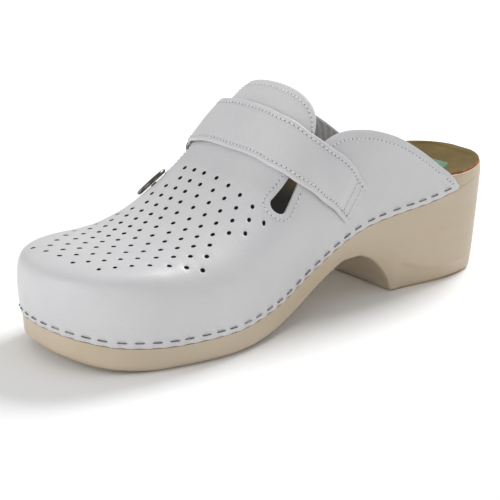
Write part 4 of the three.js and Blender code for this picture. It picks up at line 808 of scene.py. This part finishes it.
def sweep(path, radius, sides, across=None, closed=False, ends=(1.0, 1.0)):
    """A round wire carried along a path: circles square to the path's direction, kept level with `across`."""
    p = np.asarray(path, float)
    t = np.roll(p, -1, 0) - np.roll(p, 1, 0)
    if not closed:
        t[0], t[-1] = p[1] - p[0], p[-1] - p[-2]
    t /= np.linalg.norm(t, axis=1)[:, None]
    u = np.cross(np.array([0, 1.0, 0]) if across is None else across, t)
    u /= np.linalg.norm(u, axis=1)[:, None]
    v = np.cross(t, u)
    th = np.arange(sides) / sides * 2 * np.pi
    r = np.full(len(p), radius) if np.isscalar(radius) else np.asarray(radius)
    round_wire = np.cos(th)[None, :, None] * u[:, None] + np.sin(th)[None, :, None] * v[:, None]
    pts = p[:, None] + r[:, None, None] * round_wire
    faces = [loft_faces(len(p), sides)]
    pts = pts.reshape(-1, 3)
    n = len(p) * sides
    k = np.arange(sides)
    if closed:
        faces.append(np.stack([n - sides + k, n - sides + (k + 1) % sides, (k + 1) % sides, k], 1))
        return pts, faces
    pts = np.vstack([pts, p[:1] - t[:1] * r[0] * 0.5 * ends[0], p[-1:] + t[-1:] * r[-1] * 0.5 * ends[1]])
    faces.append(np.stack([np.full(sides, n), (k + 1) % sides, k], 1))
    faces.append(np.stack([np.full(sides, n + 1), n - sides + k, n - sides + (k + 1) % sides], 1))
    return pts, faces


def repeat(points, faces, axes, places):
    """Copies of one shape: points times each set of three axes, plus each place, with the faces numbered on."""
    n = len(points)
    every = np.einsum("pk,mkj->mpj", points, axes) + places[:, None]
    shift = (np.arange(len(places)) * n)[:, None, None]
    return every.reshape(-1, 3), [(f[None] + shift).reshape(-1, f.shape[1]) for f in faces]


def edge_place(run):
    """Point, outward direction and direction along the lower edge at a distance along it."""
    p = np.column_stack([np.interp(run, edge_run, edge_xyz[:, k]) for k in range(3)])
    n = np.column_stack([np.interp(run, edge_run, edge_rows[:, k]) for k in (2, 3)] + [np.zeros(len(run))])
    n /= np.linalg.norm(n, axis=1)[:, None]
    step = [np.column_stack([np.interp(run + d, edge_run, edge_xyz[:, k]) for k in range(3)]) for d in (-0.5, 0.5)]
    t = step[1] - step[0]
    return p, n, t / np.linalg.norm(t, axis=1)[:, None]


rng = np.random.default_rng(7)
uneven = rng.uniform(-1, 1, STAPLES) * np.where(np.arange(STAPLES) % 2, 0.9, 0.4)
uneven[[0, -1]] = 0
staple_at, outward, forward = edge_place(staple_runs + uneven)
rise = STAPLE_RISE / (spine(np.minimum(staple_at[:, 0], TOE_CENTRE)) - feather(staple_at[:, 0]))
staple_at = staple_at + outward * (BULGE * 4 * rise * (1 - rise))[:, None]
half_crown, corner_turn = CROWN / 2 - WIRE / 2, np.radians(np.linspace(90, 0, 5))
half_path = np.column_stack([half_crown - WIRE_CORNER + WIRE_CORNER * np.sin(corner_turn), np.zeros(5),
                             CROWN_RISE - WIRE_CORNER + WIRE_CORNER * np.cos(corner_turn)])
one_leg = np.vstack([[[half_crown, 0, -LEG]], [[half_crown, 0, -1.2]], half_path])
staple_path = np.vstack([one_leg, (one_leg * [-1, 1, 1])[::-1]])
shape, shape_faces = sweep(staple_path, WIRE / 2 * 1.05, 8)
staple_axes = np.stack([forward, np.cross(outward, forward), outward], 1)
points, faces = repeat(shape, shape_faces, staple_axes, staple_at + outward * 0.02)
wire = finish("bright_staple_wire", (150, 148, 145), (78, 76, 73), 0.32, patch=700, metallic=1.0, grain=2500,
              depth=0.02, rough_swing=0.08)
staple_row = skin("staple_row", points, faces, wire, sharp=60)
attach(staple_row, "clog")
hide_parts(*[f"staple_{k:02d}" for k in range(1, STAPLES // 2 + 1)])


# ---------------------------------------------------------------- strap, its lining and its stitching
# A leather strap over the instep, folded and stitched along both edges. It is sewn to the inner wing by two rows,
# bends about the outer one, and ends past its buckle on the outer side. The instep part has a grey lining.
STRAP, STRAP_LINING = 1.7, 0.6
SEWN_END, SEAM_B, FOLD_B, TIP_B, BAR_B = 0.865, 0.80, -0.36, -0.875, -0.70  # places along the strap, as b
BAR_HEIGHT, KNUCKLE_R = 3.2, 2.1  # height of the buckle's bar, and radius of the leather folded round it
FRAME_R, FRAME_WIDE, FRAME_LONG = 1.3, 29.0, 13.5
PATCH, CHAPE = 0.8, 1.4
END_HALF = FRAME_WIDE / 2 - FRAME_R - 1.7
strap_front = curve([[0, 138.3], [0.33, 137.8], [0.5, 133.5], [0.7, 120], [0.82, 108], [0.91, 99.5]])
strap_rear = curve([[0, 121.2], [0.23, 121.2], [0.43, 117.6], [0.56, 109.8], [0.7, 96], [0.82, 86]])


def strap_place(b, w):
    """Pattern place on the strap at height b and share w across it, from -1 at its rear edge to +1 at its front."""
    skew = 0.045 * smooth(np.abs(b) / 0.8) * np.sign(b)
    t = (w + 1) / 2
    return mix(strap_rear(np.abs(b - skew)), strap_front(np.abs(b + skew)), t), mix(b - skew, b + skew, t)


path_b = np.arange(SEWN_END, -0.9605, -0.0025)
path_points = on_last(*strap_place(path_b, 0.0), np.full(len(path_b), 2.0))
path_run = np.concatenate([[0], np.cumsum(np.linalg.norm(np.diff(path_points, axis=0), axis=1))])
run_at = lambda b: float(np.interp(-b, -path_b, path_run))
S_SEAM, S_FOLD, S_BAR, S_TIP = run_at(SEAM_B), run_at(FOLD_B), run_at(BAR_B), run_at(TIP_B)


def strap_point(s, w, lift):
    """Point at distance s along the strap, share w across, lifted off the leather."""
    return on_last(*strap_place(np.interp(s, path_run, path_b), w), lift)


def own_half(s):
    """Half the strap's own width in millimetres at s."""
    return np.linalg.norm(strap_point(s, 1.0, 0 * s) - strap_point(s, -1.0, 0 * s), axis=-1) / 2


def end_width(s):
    """Share of its own width that the strap keeps so that its end passes through the buckle's frame."""
    return mix(1, END_HALF / own_half(s), smooth((s - S_FOLD) / (S_BAR - FRAME_LONG - S_FOLD)))


def strap_lift(s):
    """Height of the strap's lower face: down on the wing where it is sewn, on its lining over the instep, up over
    the buckle's bar, then down on the short tab that holds the bar."""
    base = mix(0.12, 2 * GAP + 2 * SAG + STRAP_LINING, smooth((s - S_SEAM + 1.0) / 7))
    over = mix(base, BAR_HEIGHT + KNUCKLE_R + 0.45, smooth((s - S_BAR + 20) / 16))
    return mix(over, 3 * GAP + 2 * PATCH + CHAPE + 0.25, smooth((s - S_BAR - 3) / 9))


STITCH_IN = 2.7  # from the strap's edge to its stitch row


def ribbon(s0, s1, width, low, thick, steps, tip=0.0, groove=0.0, soft=0.85, columns=34, slot=None):
    """A strip of leather along the strap's line: an upper face from the rear to the front edge, a lower face back
    again, and edges that are half an ellipse. `groove` sinks the stitch rows, `tip` rounds its far end, and a slot
    from s to s and so many millimetres wide is cut through it."""
    w = np.sin(np.linspace(-90, 90, columns) * np.pi / 180)
    w = np.sign(w) * np.abs(w) ** 0.8
    s = np.linspace(s0, s1, steps)
    if slot:
        (i0, i1), reach = [np.abs(s - v).argmin() for v in slot[:2]], slot[2] / 2 / END_HALF
        j0, j1 = [np.abs(w - v).argmin() for v in (-reach, reach)]
        s[[i0, i1]], w[[j0, j1]] = slot[:2], (-reach, reach)
    w_all = np.concatenate([w, w[-2:0:-1]])
    s = s[:, None]
    reach = 3.2 * max(tip, 0.1)
    s = s - tip * (1 - np.sqrt(1 - 0.96 * w_all**2))[None, :] * smooth((s - (s1 - reach)) / reach)
    share = width(s) if callable(width) else np.full(s.shape, width)
    to_edge = (1 - np.abs(w_all))[None, :] * own_half(s) * share
    fall = 1 - np.sqrt(1 - (1 - np.clip(to_edge / soft, 0, 1)) ** 2)
    swell = 0.5 * np.exp(-(((to_edge - 1.3) / 0.8) ** 2)) - np.exp(-(((to_edge - STITCH_IN) / 0.45) ** 2))
    n = len(w_all)
    height = np.where(np.arange(n)[None, :] < columns, thick * (1 - 0.5 * fall) + groove * swell, thick * 0.5 * fall)
    pts = strap_point(s, w_all[None, :] * share, low(s) + height)
    flat_pts = np.vstack([pts.reshape(-1, 3), pts[0].mean(0)[None], pts[-1].mean(0)[None]])
    k, last_row, c = np.arange(n), (steps - 1) * n, steps * n
    faces = [loft_faces(steps, n), np.stack([np.full(n, c), (k + 1) % n, k], 1),
             np.stack([np.full(n, c + 1), last_row + k, last_row + (k + 1) % n], 1)]
    if slot:
        row, col = faces[0][:, 0] // n, faces[0][:, 0] % n
        under = 2 * columns - 2 - col  # the lower face's columns, counted like the upper's
        here = np.where(col < columns - 1, (col >= j0) & (col < j1), (under > j0) & (under <= j1))
        faces[0] = faces[0][~((row >= i0) & (row < i1) & here)]
        top_at, low_at = (lambda i, j: i * n + j), (lambda i, j: i * n + (2 * columns - 2 - j))
        i, j = np.arange(i0, i1), np.arange(j0, j1)
        faces += [np.stack([top_at(i + 1, j0), top_at(i, j0), low_at(i, j0), low_at(i + 1, j0)], 1),
                  np.stack([top_at(i, j1), top_at(i + 1, j1), low_at(i + 1, j1), low_at(i, j1)], 1),
                  np.stack([top_at(i0, j), top_at(i0, j + 1), low_at(i0, j + 1), low_at(i0, j)], 1),
                  np.stack([top_at(i1, j + 1), top_at(i1, j), low_at(i1, j), low_at(i1, j + 1)], 1)]
    return flat_pts, faces


S_JOIN = 95.0  # the two halves meet here, on the outer side of the ridge
mid_point = lambda s, lift=1.0: Vector(((strap_point(np.array(s), 0.0, np.array(lift)) + ORIGIN) / 1000).tolist())
seam_zone = dict(start=mid_point(S_SEAM - 1.5), end=mid_point(S_SEAM + 6))
fold_zone = dict(start=mid_point(S_FOLD - 6), end=mid_point(S_FOLD + 6))
strap_a = skin("strap_over_instep", *ribbon(0, S_JOIN, 1.0, strap_lift, STRAP, 120, groove=0.3), hide, sharp=55)
strap_b = skin("strap_closing_end", *ribbon(S_JOIN, S_TIP, end_width, strap_lift, STRAP, 110, tip=7, groove=0.3,
                                           slot=(S_BAR - 8, S_BAR + 7.8, 3.8)), hide, sharp=55)
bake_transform(strap_a)
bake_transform(strap_b)
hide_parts("strap", "strap_anchor")
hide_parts("strap_end")
strap_lining = skin("strap_knit_lining", *ribbon(S_SEAM + 3, S_FOLD - 1, 0.9, lambda s: 0 * s + GAP + 2 * SAG,
                                                STRAP_LINING, 90, soft=0.3), knit, sharp=55)
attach(strap_lining, "strap")
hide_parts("strap_lining")

STITCH, PRICK_R = 2.5, 0.42  # pitch, and radius of a needle hole
thread = finish("white_thread", (222, 222, 224), (206, 206, 209), 0.75, patch=900, grain=3000, depth=0.05)
# The needle holes are dark discs on the surface: painted shade for the holes.
painted_needle_shade = finish("needle_hole_painted_shade", (96, 96, 100), (84, 84, 88), 0.9, patch=900)
from_middle = np.linspace(-1, 1, 6)
one_stitch = sweep(np.column_stack([from_middle * STITCH * 0.42, 0 * from_middle, 0.16 * (1 - from_middle**2) - 0.04]),
                   0.26 * np.sqrt(np.clip(1.1 - from_middle**2, 0, 1)) + 0.05, 6)
k, eighth = np.arange(8), np.arange(8) / 8 * 2 * np.pi
disc = np.vstack([np.column_stack([PRICK_R * np.cos(eighth), PRICK_R * np.sin(eighth), 0 * eighth]), [[0, 0, 0.05]],
                  [[0, 0, -0.1]]])
disc_faces = [np.vstack([np.stack([k, (k + 1) % 8, np.full(8, 8)], 1), np.stack([(k + 1) % 8, k, np.full(8, 9)], 1)])]


def stitches(name, lines):
    """Threads and needle holes along lines of (points, normals): each line is divided evenly by its length, a
    stitch lies in each part along the line, and a dark disc of painted shade marks the hole at each division."""
    mids, ends = [], []
    for p, n in lines:
        run = np.concatenate([[0], np.cumsum(np.linalg.norm(np.diff(p, axis=0), axis=1))])
        parts = max(1, round(run[-1] / STITCH))
        at = lambda q, v: np.column_stack([np.interp(q, run, v[:, j]) for j in range(3)])
        cuts = np.linspace(0, run[-1], parts + 1)
        middle = (cuts[1:] + cuts[:-1]) / 2
        for q, store in ((middle, mids), (cuts, ends)):
            t = at(np.minimum(q + 0.4, run[-1]), p) - at(np.maximum(q - 0.4, 0), p)
            t /= np.linalg.norm(t, axis=1)[:, None]
            across = np.cross(at(q, n), t)
            across /= np.linalg.norm(across, axis=1)[:, None]
            store.append((np.stack([t, across, np.cross(t, across)], 1), at(q, p)))
    for store, (pts, faces), label, m in ((mids, one_stitch, "thread", thread),
                                          (ends, (disc, disc_faces), "needle_hole_shade_discs", painted_needle_shade)):
        made = repeat(pts, faces, np.vstack([s[0] for s in store]), np.vstack([s[1] for s in store]))
        yield skin(f"{name}_{label}", *made, m, sharp=80)


def strap_line(s0, s1, w_of, sink=0.12, steps=200):
    """Points and normals of a row along the strap's upper face."""
    s = np.linspace(s0, s1, steps)
    w = w_of(s)
    top = strap_lift(s) + STRAP - sink
    return strap_point(s, w, top), last_normal(*strap_place(np.interp(s, path_run, path_b), w))


rear_row = lambda s: -(1 - STITCH_IN / own_half(s)) * end_width(np.maximum(s, S_FOLD)) ** (s > S_FOLD)
front_row = lambda s: -rear_row(s)


def cross_row(s, reach=0.86):
    """Points and normals of a row straight across the strap at s."""
    w, at = np.linspace(-reach, reach, 40), np.full(40, s)
    up = last_normal(*strap_place(np.interp(at, path_run, path_b), w))
    return strap_point(at, w, strap_lift(at) + STRAP - 0.03), up


FIRST_SEAM, SECOND_SEAM = 2.4, 6.6  # the two rows that sew the strap to the wing, from its sewn end
over_rows = [strap_line(3, S_JOIN, rear_row), strap_line(3, S_JOIN, front_row), cross_row(FIRST_SEAM),
             cross_row(SECOND_SEAM)]
end_rows = [strap_line(S_JOIN, S_TIP - 6, rear_row), strap_line(S_JOIN, S_TIP - 6, front_row)]
for item in stitches("strap_over", over_rows):
    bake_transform(item)
for item in stitches("strap_end", end_rows):
    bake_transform(item)


# ---------------------------------------------------------------- stitching of the upper
# One row runs 3 mm inside the top edge of wings and tab, holding the lining, and one runs round each slit's end.
ROW_IN, SLIT_ROW_IN = 3.0, 3.1


def upper_line(a, b):
    """Points and normals of a row on the leather."""
    return on_last(a, b, np.full(len(a), -0.02)), last_normal(a, b)


lines = []
for sign in (1, -1):
    row = tidy_line(opening_line(ROW_IN), 1.0)
    wing = row[(row[:, 0] < 108) & (row[:, 1] > 0.53) & (row[:, 1] < 0.965)]
    lines.append(upper_line(wing[:, 0], sign * wing[:, 1]))
    ring = tidy_line(opening_line(SLIT_ROW_IN), 1.0)
    ring = ring[(ring[:, 0] > 129) & (ring[:, 1] > 0.4)]
    lines.append(upper_line(ring[:, 0], sign * ring[:, 1]))
tab_row = np.linspace(-0.475, 0.475, 160)
lines.append(upper_line(tab_edge(np.abs(tab_row)) + ROW_IN * TO_TAB, tab_row))
for item in stitches("upper", lines):
    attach(item, "clog")


# ---------------------------------------------------------------- hook-and-loop, chape and keeper
# The strap closes on a loop patch glued to the outer wing and a hook patch under the short leather tab (the chape)
# that folds round the buckle's bar. A leather keeper holds the strap's tip down on the chape.
fleece = finish("hook_and_loop_tape", (232, 232, 234), (214, 214, 218), 0.95, patch=500, grain=2200, depth=0.4,
                sheen=0.4)
KEEPER_WALL, KEEPER_LONG = 1.1, 7.0
KNUCKLE_HALF = FRAME_WIDE / 2 - 6
KEEPER_HALF = END_HALF + 1.0
CHAPE_HALF = KEEPER_HALF + KEEPER_WALL + 0.3
PRONG_ROOM = 2.3  # half the gap between the two knuckles, for the prong
loop_tape = skin("loop_tape", *ribbon(S_BAR + 5, S_BAR + 21, lambda s: KNUCKLE_HALF / own_half(s) * 0.95,
                                      lambda s: 0 * s + GAP, PATCH, 30, soft=0.3), fleece, sharp=55)
hook_tape = skin("hook_tape", *ribbon(S_BAR + 6, S_BAR + 20, lambda s: KNUCKLE_HALF / own_half(s) * 0.87,
                                      lambda s: 0 * s + 2 * GAP + PATCH, PATCH, 30, soft=0.3), fleece, sharp=55)
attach(loop_tape, "clog")
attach(hook_tape, "strap_end")
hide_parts("loop_patch")
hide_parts("hook_patch")

# axes of the buckle: its bar is the tilt joint's axis, and its free bar lies away from the tip
bar = next(j for j in frame["joints"] if j["name"] == "buckle_tilt")
bar_at = np.array(bar["pos_m"]) * 1000 - ORIGIN
bar_y = np.array(bar["axis"]) / np.linalg.norm(bar["axis"])
frame_co = np.zeros(len(frame["nodes"]["buckle_frame"].data.vertices) * 3, np.float32)
frame["nodes"]["buckle_frame"].data.vertices.foreach_get("co", frame_co)
frame_mm = frame_co.reshape(-1, 3) * 1000 - ORIGIN - bar_at
middle = frame_mm.mean(0) - frame_mm.mean(0) @ bar_y * bar_y
bar_x = -middle / np.linalg.norm(middle)
bar_z = np.cross(bar_x, bar_y)
if bar_z @ last_normal(*strap_place(np.array(BAR_B), 0.0)) < 0:
    bar_z = -bar_z
span = -(frame_mm @ bar_x).min() - FRAME_R  # from the hinge bar to the free bar
BAR_AXES = np.stack([bar_x, bar_y, bar_z])


def at_bar(points):
    """Places given in the buckle's own axes."""
    return np.asarray(points) @ BAR_AXES + bar_at


chape_width = lambda s: mix(KNUCKLE_HALF, CHAPE_HALF, smooth((s - S_BAR - 3) / 5)) / own_half(s)
parts = [ribbon(S_BAR + 3.2, S_BAR + 24, chape_width, lambda s: 0 * s + 3 * GAP + 2 * PATCH, CHAPE, 50, tip=3)]
wrap_turn = np.radians(np.linspace(-148, 148, 31))
for y0, y1 in ((-KNUCKLE_HALF, -PRONG_ROOM), (PRONG_ROOM, KNUCKLE_HALF)):
    shell = []  # six lines round the bar: the inside, and the outside with its edges rounded
    for r, neck, y in ((1.62, 0.1, y0), (2.0, 0.6, y0), (KNUCKLE_R, 0.7, y0 + 0.25), (KNUCKLE_R, 0.7, y1 - 0.25),
                       (2.0, 0.6, y1), (1.62, 0.1, y1)):
        x = np.concatenate([[3.9], -np.cos(wrap_turn) * r, [3.9]])
        z = np.concatenate([[-neck], np.sin(wrap_turn) * r, [neck]])
        shell.append(np.column_stack([x, 0 * x + y, z]))
    shell = at_bar(np.stack(shell, 1).reshape(-1, 3))
    n = len(shell)
    parts.append((shell, [loft_faces(len(wrap_turn) + 2, 6), np.array([[0, 1, 2, 3], [0, 3, 4, 5]]),
                          np.array([[n - 6, n - 3, n - 4, n - 5], [n - 6, n - 1, n - 2, n - 3]])]))


def together(parts):
    """Several point sets with their faces as one."""
    starts = np.cumsum([0] + [len(part[0]) for part in parts[:-1]])
    faces = [f + start for start, part in zip(starts, parts) for f in part[1]]
    return np.vstack([part[0] for part in parts]), faces


chape = skin("chape_round_bar", *together(parts), hide, sharp=50)
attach(chape, "strap_end")
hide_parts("chape")

S_KEEP = S_BAR + 12.0


def strap_seat(w=0.0, ahead=0.0):
    """Point on the leather under the keeper's middle, at share w across and so far ahead along the strap."""
    return strap_point(np.array(S_KEEP + ahead), w, np.array(0.0))


keep_t = strap_seat(ahead=2.0) - strap_seat(ahead=-2.0)
keep_t /= np.linalg.norm(keep_t)
keep_n = np.cross(keep_t, strap_seat(0.2) - strap_seat(-0.2))
keep_n /= np.linalg.norm(keep_n)
if keep_n @ last_normal(*strap_place(np.interp(S_KEEP, path_run, path_b), 0.0)) < 0:
    keep_n = -keep_n
keep_c = np.cross(keep_n, keep_t)
keep_foot = 3 * GAP + 2 * PATCH + CHAPE + 0.1
keep_roof = float(strap_lift(S_KEEP - KEEPER_LONG / 2)) + STRAP + 0.4
ARCH_R = 2.0
shoulder = np.radians(np.linspace(0, 90, 7))
arch = np.vstack([[[KEEPER_HALF + KEEPER_WALL / 2, keep_foot]],
                  np.column_stack([KEEPER_HALF + KEEPER_WALL / 2 - ARCH_R + ARCH_R * np.cos(shoulder),
                                   keep_roof + KEEPER_WALL / 2 - ARCH_R + ARCH_R * np.sin(shoulder)])])
arch = np.vstack([arch, (arch * [-1, 1])[::-1]])
slope = np.gradient(arch, axis=0)
thick_way = np.stack([slope[:, 1], -slope[:, 0]], 1) / np.linalg.norm(slope, axis=1)[:, None]
SECTION = ((-3.5, -0.3), (-3.2, -0.55), (3.2, -0.55), (3.5, -0.3), (3.5, 0.3), (3.2, 0.55), (-3.2, 0.55), (-3.5, 0.3))
keeper_lines = []
for u, v in SECTION:  # the band's cut section with its corners taken off, carried over the arch
    yz = arch + thick_way * v
    keeper_lines.append(np.outer(np.full(len(arch), u), keep_t) + yz[:, :1] * keep_c + yz[:, 1:] * keep_n)
keeper_grid = np.stack(keeper_lines, 1) + strap_seat()
n = len(arch) * len(SECTION)
foot_faces = [np.array([[0, 1, 2, 3], [0, 3, 4, 7], [4, 5, 6, 7]]),
              np.array([[n - 8, n - 5, n - 6, n - 7], [n - 8, n - 1, n - 4, n - 5], [n - 4, n - 1, n - 2, n - 3]])]
keeper = skin("strap_keeper_loop", keeper_grid.reshape(-1, 3), [loft_faces(len(arch), len(SECTION)), *foot_faces],
              hide, sharp=50)
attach(keeper, "strap_end")
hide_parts("strap_keeper")


# ---------------------------------------------------------------- buckle frame, prong and ornament
# The frame is a bent nickel wire with rounded corners that turns on its own bar in the chape, with a prong on the
# same bar. The oval ornament is a pressed nickel dish held through the vamp by a rivet and a washer.
CORNER_R = 3.2
FRAME_BELLY = 0.9  # how far the frame's long sides arch up
nickel = finish("polished_nickel", (132, 128, 118), (88, 84, 76), 0.24, patch=300, metallic=1.0, grain=1200,
                depth=0.01, rough_swing=0.06)
half_wide = FRAME_WIDE / 2
quarter = np.radians(np.linspace(0, 90, 9))


def corner(x, y, start):
    """A quarter circle of CORNER_R about (x, y) from that many degrees on."""
    return np.column_stack([x, y]) + CORNER_R * np.column_stack([np.cos(quarter + np.radians(start)),
                                                                 np.sin(quarter + np.radians(start))])


long_side = np.linspace(-CORNER_R - 1, -span + CORNER_R + 1, 7)
flat_path = np.vstack([[[0, -half_wide + CORNER_R], [0, -half_wide / 2], [0, 0], [0, half_wide / 2]],
                       corner(-CORNER_R, half_wide - CORNER_R, 0),
                       np.column_stack([long_side, np.full(7, half_wide)]),
                       corner(-span + CORNER_R, half_wide - CORNER_R, 90),
                       [[-span, half_wide / 2], [-span, 0], [-span, -half_wide / 2]],
                       corner(-span + CORNER_R, -half_wide + CORNER_R, 180),
                       np.column_stack([long_side[::-1], np.full(7, -half_wide)]),
                       corner(-CORNER_R, -half_wide + CORNER_R, 270)[:-1]])
arched = np.sin(np.pi * np.clip(-flat_path[:, 0] / span, 0, 1)) * (np.abs(flat_path[:, 1]) / half_wide) ** 4
frame_path = np.column_stack([flat_path[:, 0], flat_path[:, 1] * (1 + 0.026 * arched), FRAME_BELLY * arched])
wire_points, wire_faces = sweep(frame_path, FRAME_R, 16, across=np.array([0, 0, 1.0]), closed=True)
buckle = skin("buckle_wire_frame", at_bar(wire_points), wire_faces, nickel, sharp=60)
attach(buckle, "buckle_frame")
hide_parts("buckle_frame")

COLLAR_IN, COLLAR_OUT = FRAME_R + 0.25, FRAME_R + 1.16  # radii of the prong's eye round the bar
pin_x = np.concatenate([np.linspace(-COLLAR_OUT + 0.5, -4, 5), np.linspace(-4, -span - 0.6, 26)[1:]])
pin_z = np.interp(-pin_x, [COLLAR_OUT - 0.5, 4, 7, span * 0.62, span + 0.6], [1.2, 4.2, 4.9, 4.7, FRAME_R + 1.15])
pin_z = np.convolve(np.pad(pin_z, 2, mode="edge"), np.ones(5) / 5, "valid")
pin_r = 0.9 * np.clip(1 - 0.35 * smooth((-pin_x - span * 0.6) / (span * 0.5)), 0, 1)
pin = sweep(np.column_stack([pin_x, 0 * pin_x, pin_z]), pin_r, 12)
EYE = 28  # points round the eye
eye_turn = np.arange(EYE) / EYE * 2 * np.pi
collar = []
for r, y in ((COLLAR_IN, -1.3), (COLLAR_OUT - 0.15, -1.3), (COLLAR_OUT, -1.1), (COLLAR_OUT, 1.1),
             (COLLAR_OUT - 0.15, 1.3), (COLLAR_IN, 1.3)):
    collar.append(np.column_stack([r * np.cos(eye_turn), 0 * eye_turn + y, r * np.sin(eye_turn)]))
collar = np.stack(collar, 1).reshape(-1, 3)
six = np.arange(6)
close = np.stack([(EYE - 1) * 6 + six, (EYE - 1) * 6 + (six + 1) % 6, (six + 1) % 6, six], 1)
prong_points, prong_faces = together([pin, (collar, [loft_faces(EYE, 6), close])])
prong = skin("buckle_prong_pin", at_bar(prong_points), prong_faces, nickel, sharp=60)
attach(prong, "buckle_prong")
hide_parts("buckle_prong")

ORNAMENT_A, ORNAMENT_B, ORNAMENT_LONG, ORNAMENT_HIGH = 157.0, -0.49, 19.0, 10.0


def ornament_seat(ahead=0.0):
    """Point of the leather under the ornament's middle, or so far ahead of it."""
    return on_last(np.array(ORNAMENT_A + ahead), np.array(ORNAMENT_B), np.array(0.0))


orn_n = last_normal(np.array(ORNAMENT_A), np.array(ORNAMENT_B))
orn_t = ornament_seat(3) - ornament_seat(-3)
orn_c = np.cross(orn_n, orn_t / np.linalg.norm(orn_t))
ORN_AXES = np.stack([np.cross(orn_c, orn_n), orn_c / np.linalg.norm(orn_c), orn_n])


def turned(profile, sides, long=1.0, high=1.0):
    """A profile of (radius, height) carried round an axis, stretched to an oval; it starts and ends on the axis."""
    th = np.arange(sides) / sides * 2 * np.pi
    p = np.array(profile, float)
    body = np.stack([np.outer(p[1:-1, 0], np.cos(th)) * long, np.outer(p[1:-1, 0], np.sin(th)) * high,
                     np.repeat(p[1:-1, 1:], sides, 1)], -1).reshape(-1, 3)
    n, k = len(body), np.arange(sides)
    pts = np.vstack([body, [[0, 0, p[0, 1]], [0, 0, p[-1, 1]]]])
    caps = [np.stack([np.full(sides, n), (k + 1) % sides, k], 1),
            np.stack([np.full(sides, n + 1), n - sides + k, n - sides + (k + 1) % sides], 1)]
    return pts, [loft_faces(len(p) - 2, sides), *caps]


dish = turned([[0, 0.75], [0.8, 0.75], [0.9, 0.8], [0.96, 1.1], [1.0, 1.65], [0.995, 2.0], [0.965, 2.35], [0.92, 2.55],
               [0.86, 2.63], [0.81, 2.55], [0.77, 2.3], [0.73, 2.02], [0.6, 1.9], [0.42, 1.95], [0.34, 2.2],
               [0.22, 2.42], [0.1, 2.5], [0, 2.52]], 72, ORNAMENT_LONG / 2, ORNAMENT_HIGH / 2)
rivet = turned([[0, -3.9], [1.45, -3.9], [1.6, -3.7], [1.6, 0.3], [1.45, 0.44], [0, 0.44]], 28)
washer_z = -LEATHER - 2 * GAP - LINING - 0.9
washer = turned([[0, washer_z - 0.4], [3.1, washer_z - 0.4], [3.4, washer_z - 0.2], [3.4, washer_z + 0.2],
                 [3.1, washer_z + 0.4], [0, washer_z + 0.4]], 40)
for label, (pts, faces), node, m, name in (("ornament_dish", dish, "ornament", nickel, "nickel"),
                                           ("ornament_rivet_pin", rivet, "ornament_rivet", nickel, "nickel"),
                                           ("ornament_washer_disc", washer, "ornament_washer", wire, "staple_steel")):
    item = skin(label, pts @ ORN_AXES + ornament_seat(), faces, m, sharp=50)
    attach(item, "clog")
    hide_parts(node)


# ---------------------------------------------------------------- floor, light and camera
# A pale seamless floor, a soft key light from above and behind, weaker ones from the left and the front, and a
# long lens low on the inner side.
SKY = 0.46
LENS, SENSOR = 135.24, 36  # millimetres
AIM_LEFT, AIM_DOWN = 0.00419, 0.02174  # metres from the shoe's middle to where the camera points
paper = finish("pale_paper", (250, 250, 250), (248, 248, 248), 0.9, patch=2, specular=0.1)
bpy.ops.mesh.primitive_plane_add(size=14)
floor = bpy.context.object
floor.name = "floor"
floor.data.materials.append(paper)

world = bpy.data.worlds.new("studio")
bpy.context.scene.world = world
world.use_nodes = True
world.node_tree.nodes["Background"].inputs["Color"].default_value = (1, 1, 1, 1)
world.node_tree.nodes["Background"].inputs["Strength"].default_value = SKY

AZIMUTH, ELEVATION, DISTANCE = math.radians(140.97), math.radians(17.33), 0.9
back = Vector((math.sin(AZIMUTH) * math.cos(ELEVATION), -math.cos(AZIMUTH) * math.cos(ELEVATION),
               math.sin(ELEVATION)))
right = Vector((math.cos(AZIMUTH), math.sin(AZIMUTH), 0))
up = back.cross(right)
centre = Vector(((np.array([125.0, 0, 50]) + ORIGIN) / 1000).tolist())


def soft_light(name, offset, size, power):
    """A square light of that size at centre plus offset, turned to face the centre."""
    lamp = bpy.data.lights.new(name, "AREA")
    lamp.size, lamp.energy = size, power
    obj = bpy.data.objects.new(name, lamp)
    obj.location = centre + offset
    obj.rotation_euler = (-offset).to_track_quat("-Z", "Y").to_euler()
    bpy.context.scene.collection.objects.link(obj)


level = Vector((back.x, back.y, 0)).normalized()
soft_light("key", right * 0.7 - level * 0.85 + Vector((0, 0, 1.1)), 0.6, 19.5)
soft_light("left", level * 0.7 - right * 1.3 + Vector((0, 0, 0.55)), 1.0, 10.5)
soft_light("front", level * 1.5 + right * 0.5 + Vector((0, 0, 0.4)), 1.0, 4)

aim = centre - right * AIM_LEFT - up * AIM_DOWN
camera = bpy.data.objects.new("camera", bpy.data.cameras.new("camera"))
camera.location = centre + back * DISTANCE
camera.rotation_euler = (aim - camera.location).to_track_quat("-Z", "Y").to_euler()
camera.data.lens = LENS
camera.data.sensor_width = SENSOR
bpy.context.scene.collection.objects.link(camera)
bpy.context.scene.camera = camera
bpy.context.scene.view_settings.view_transform = "Standard"
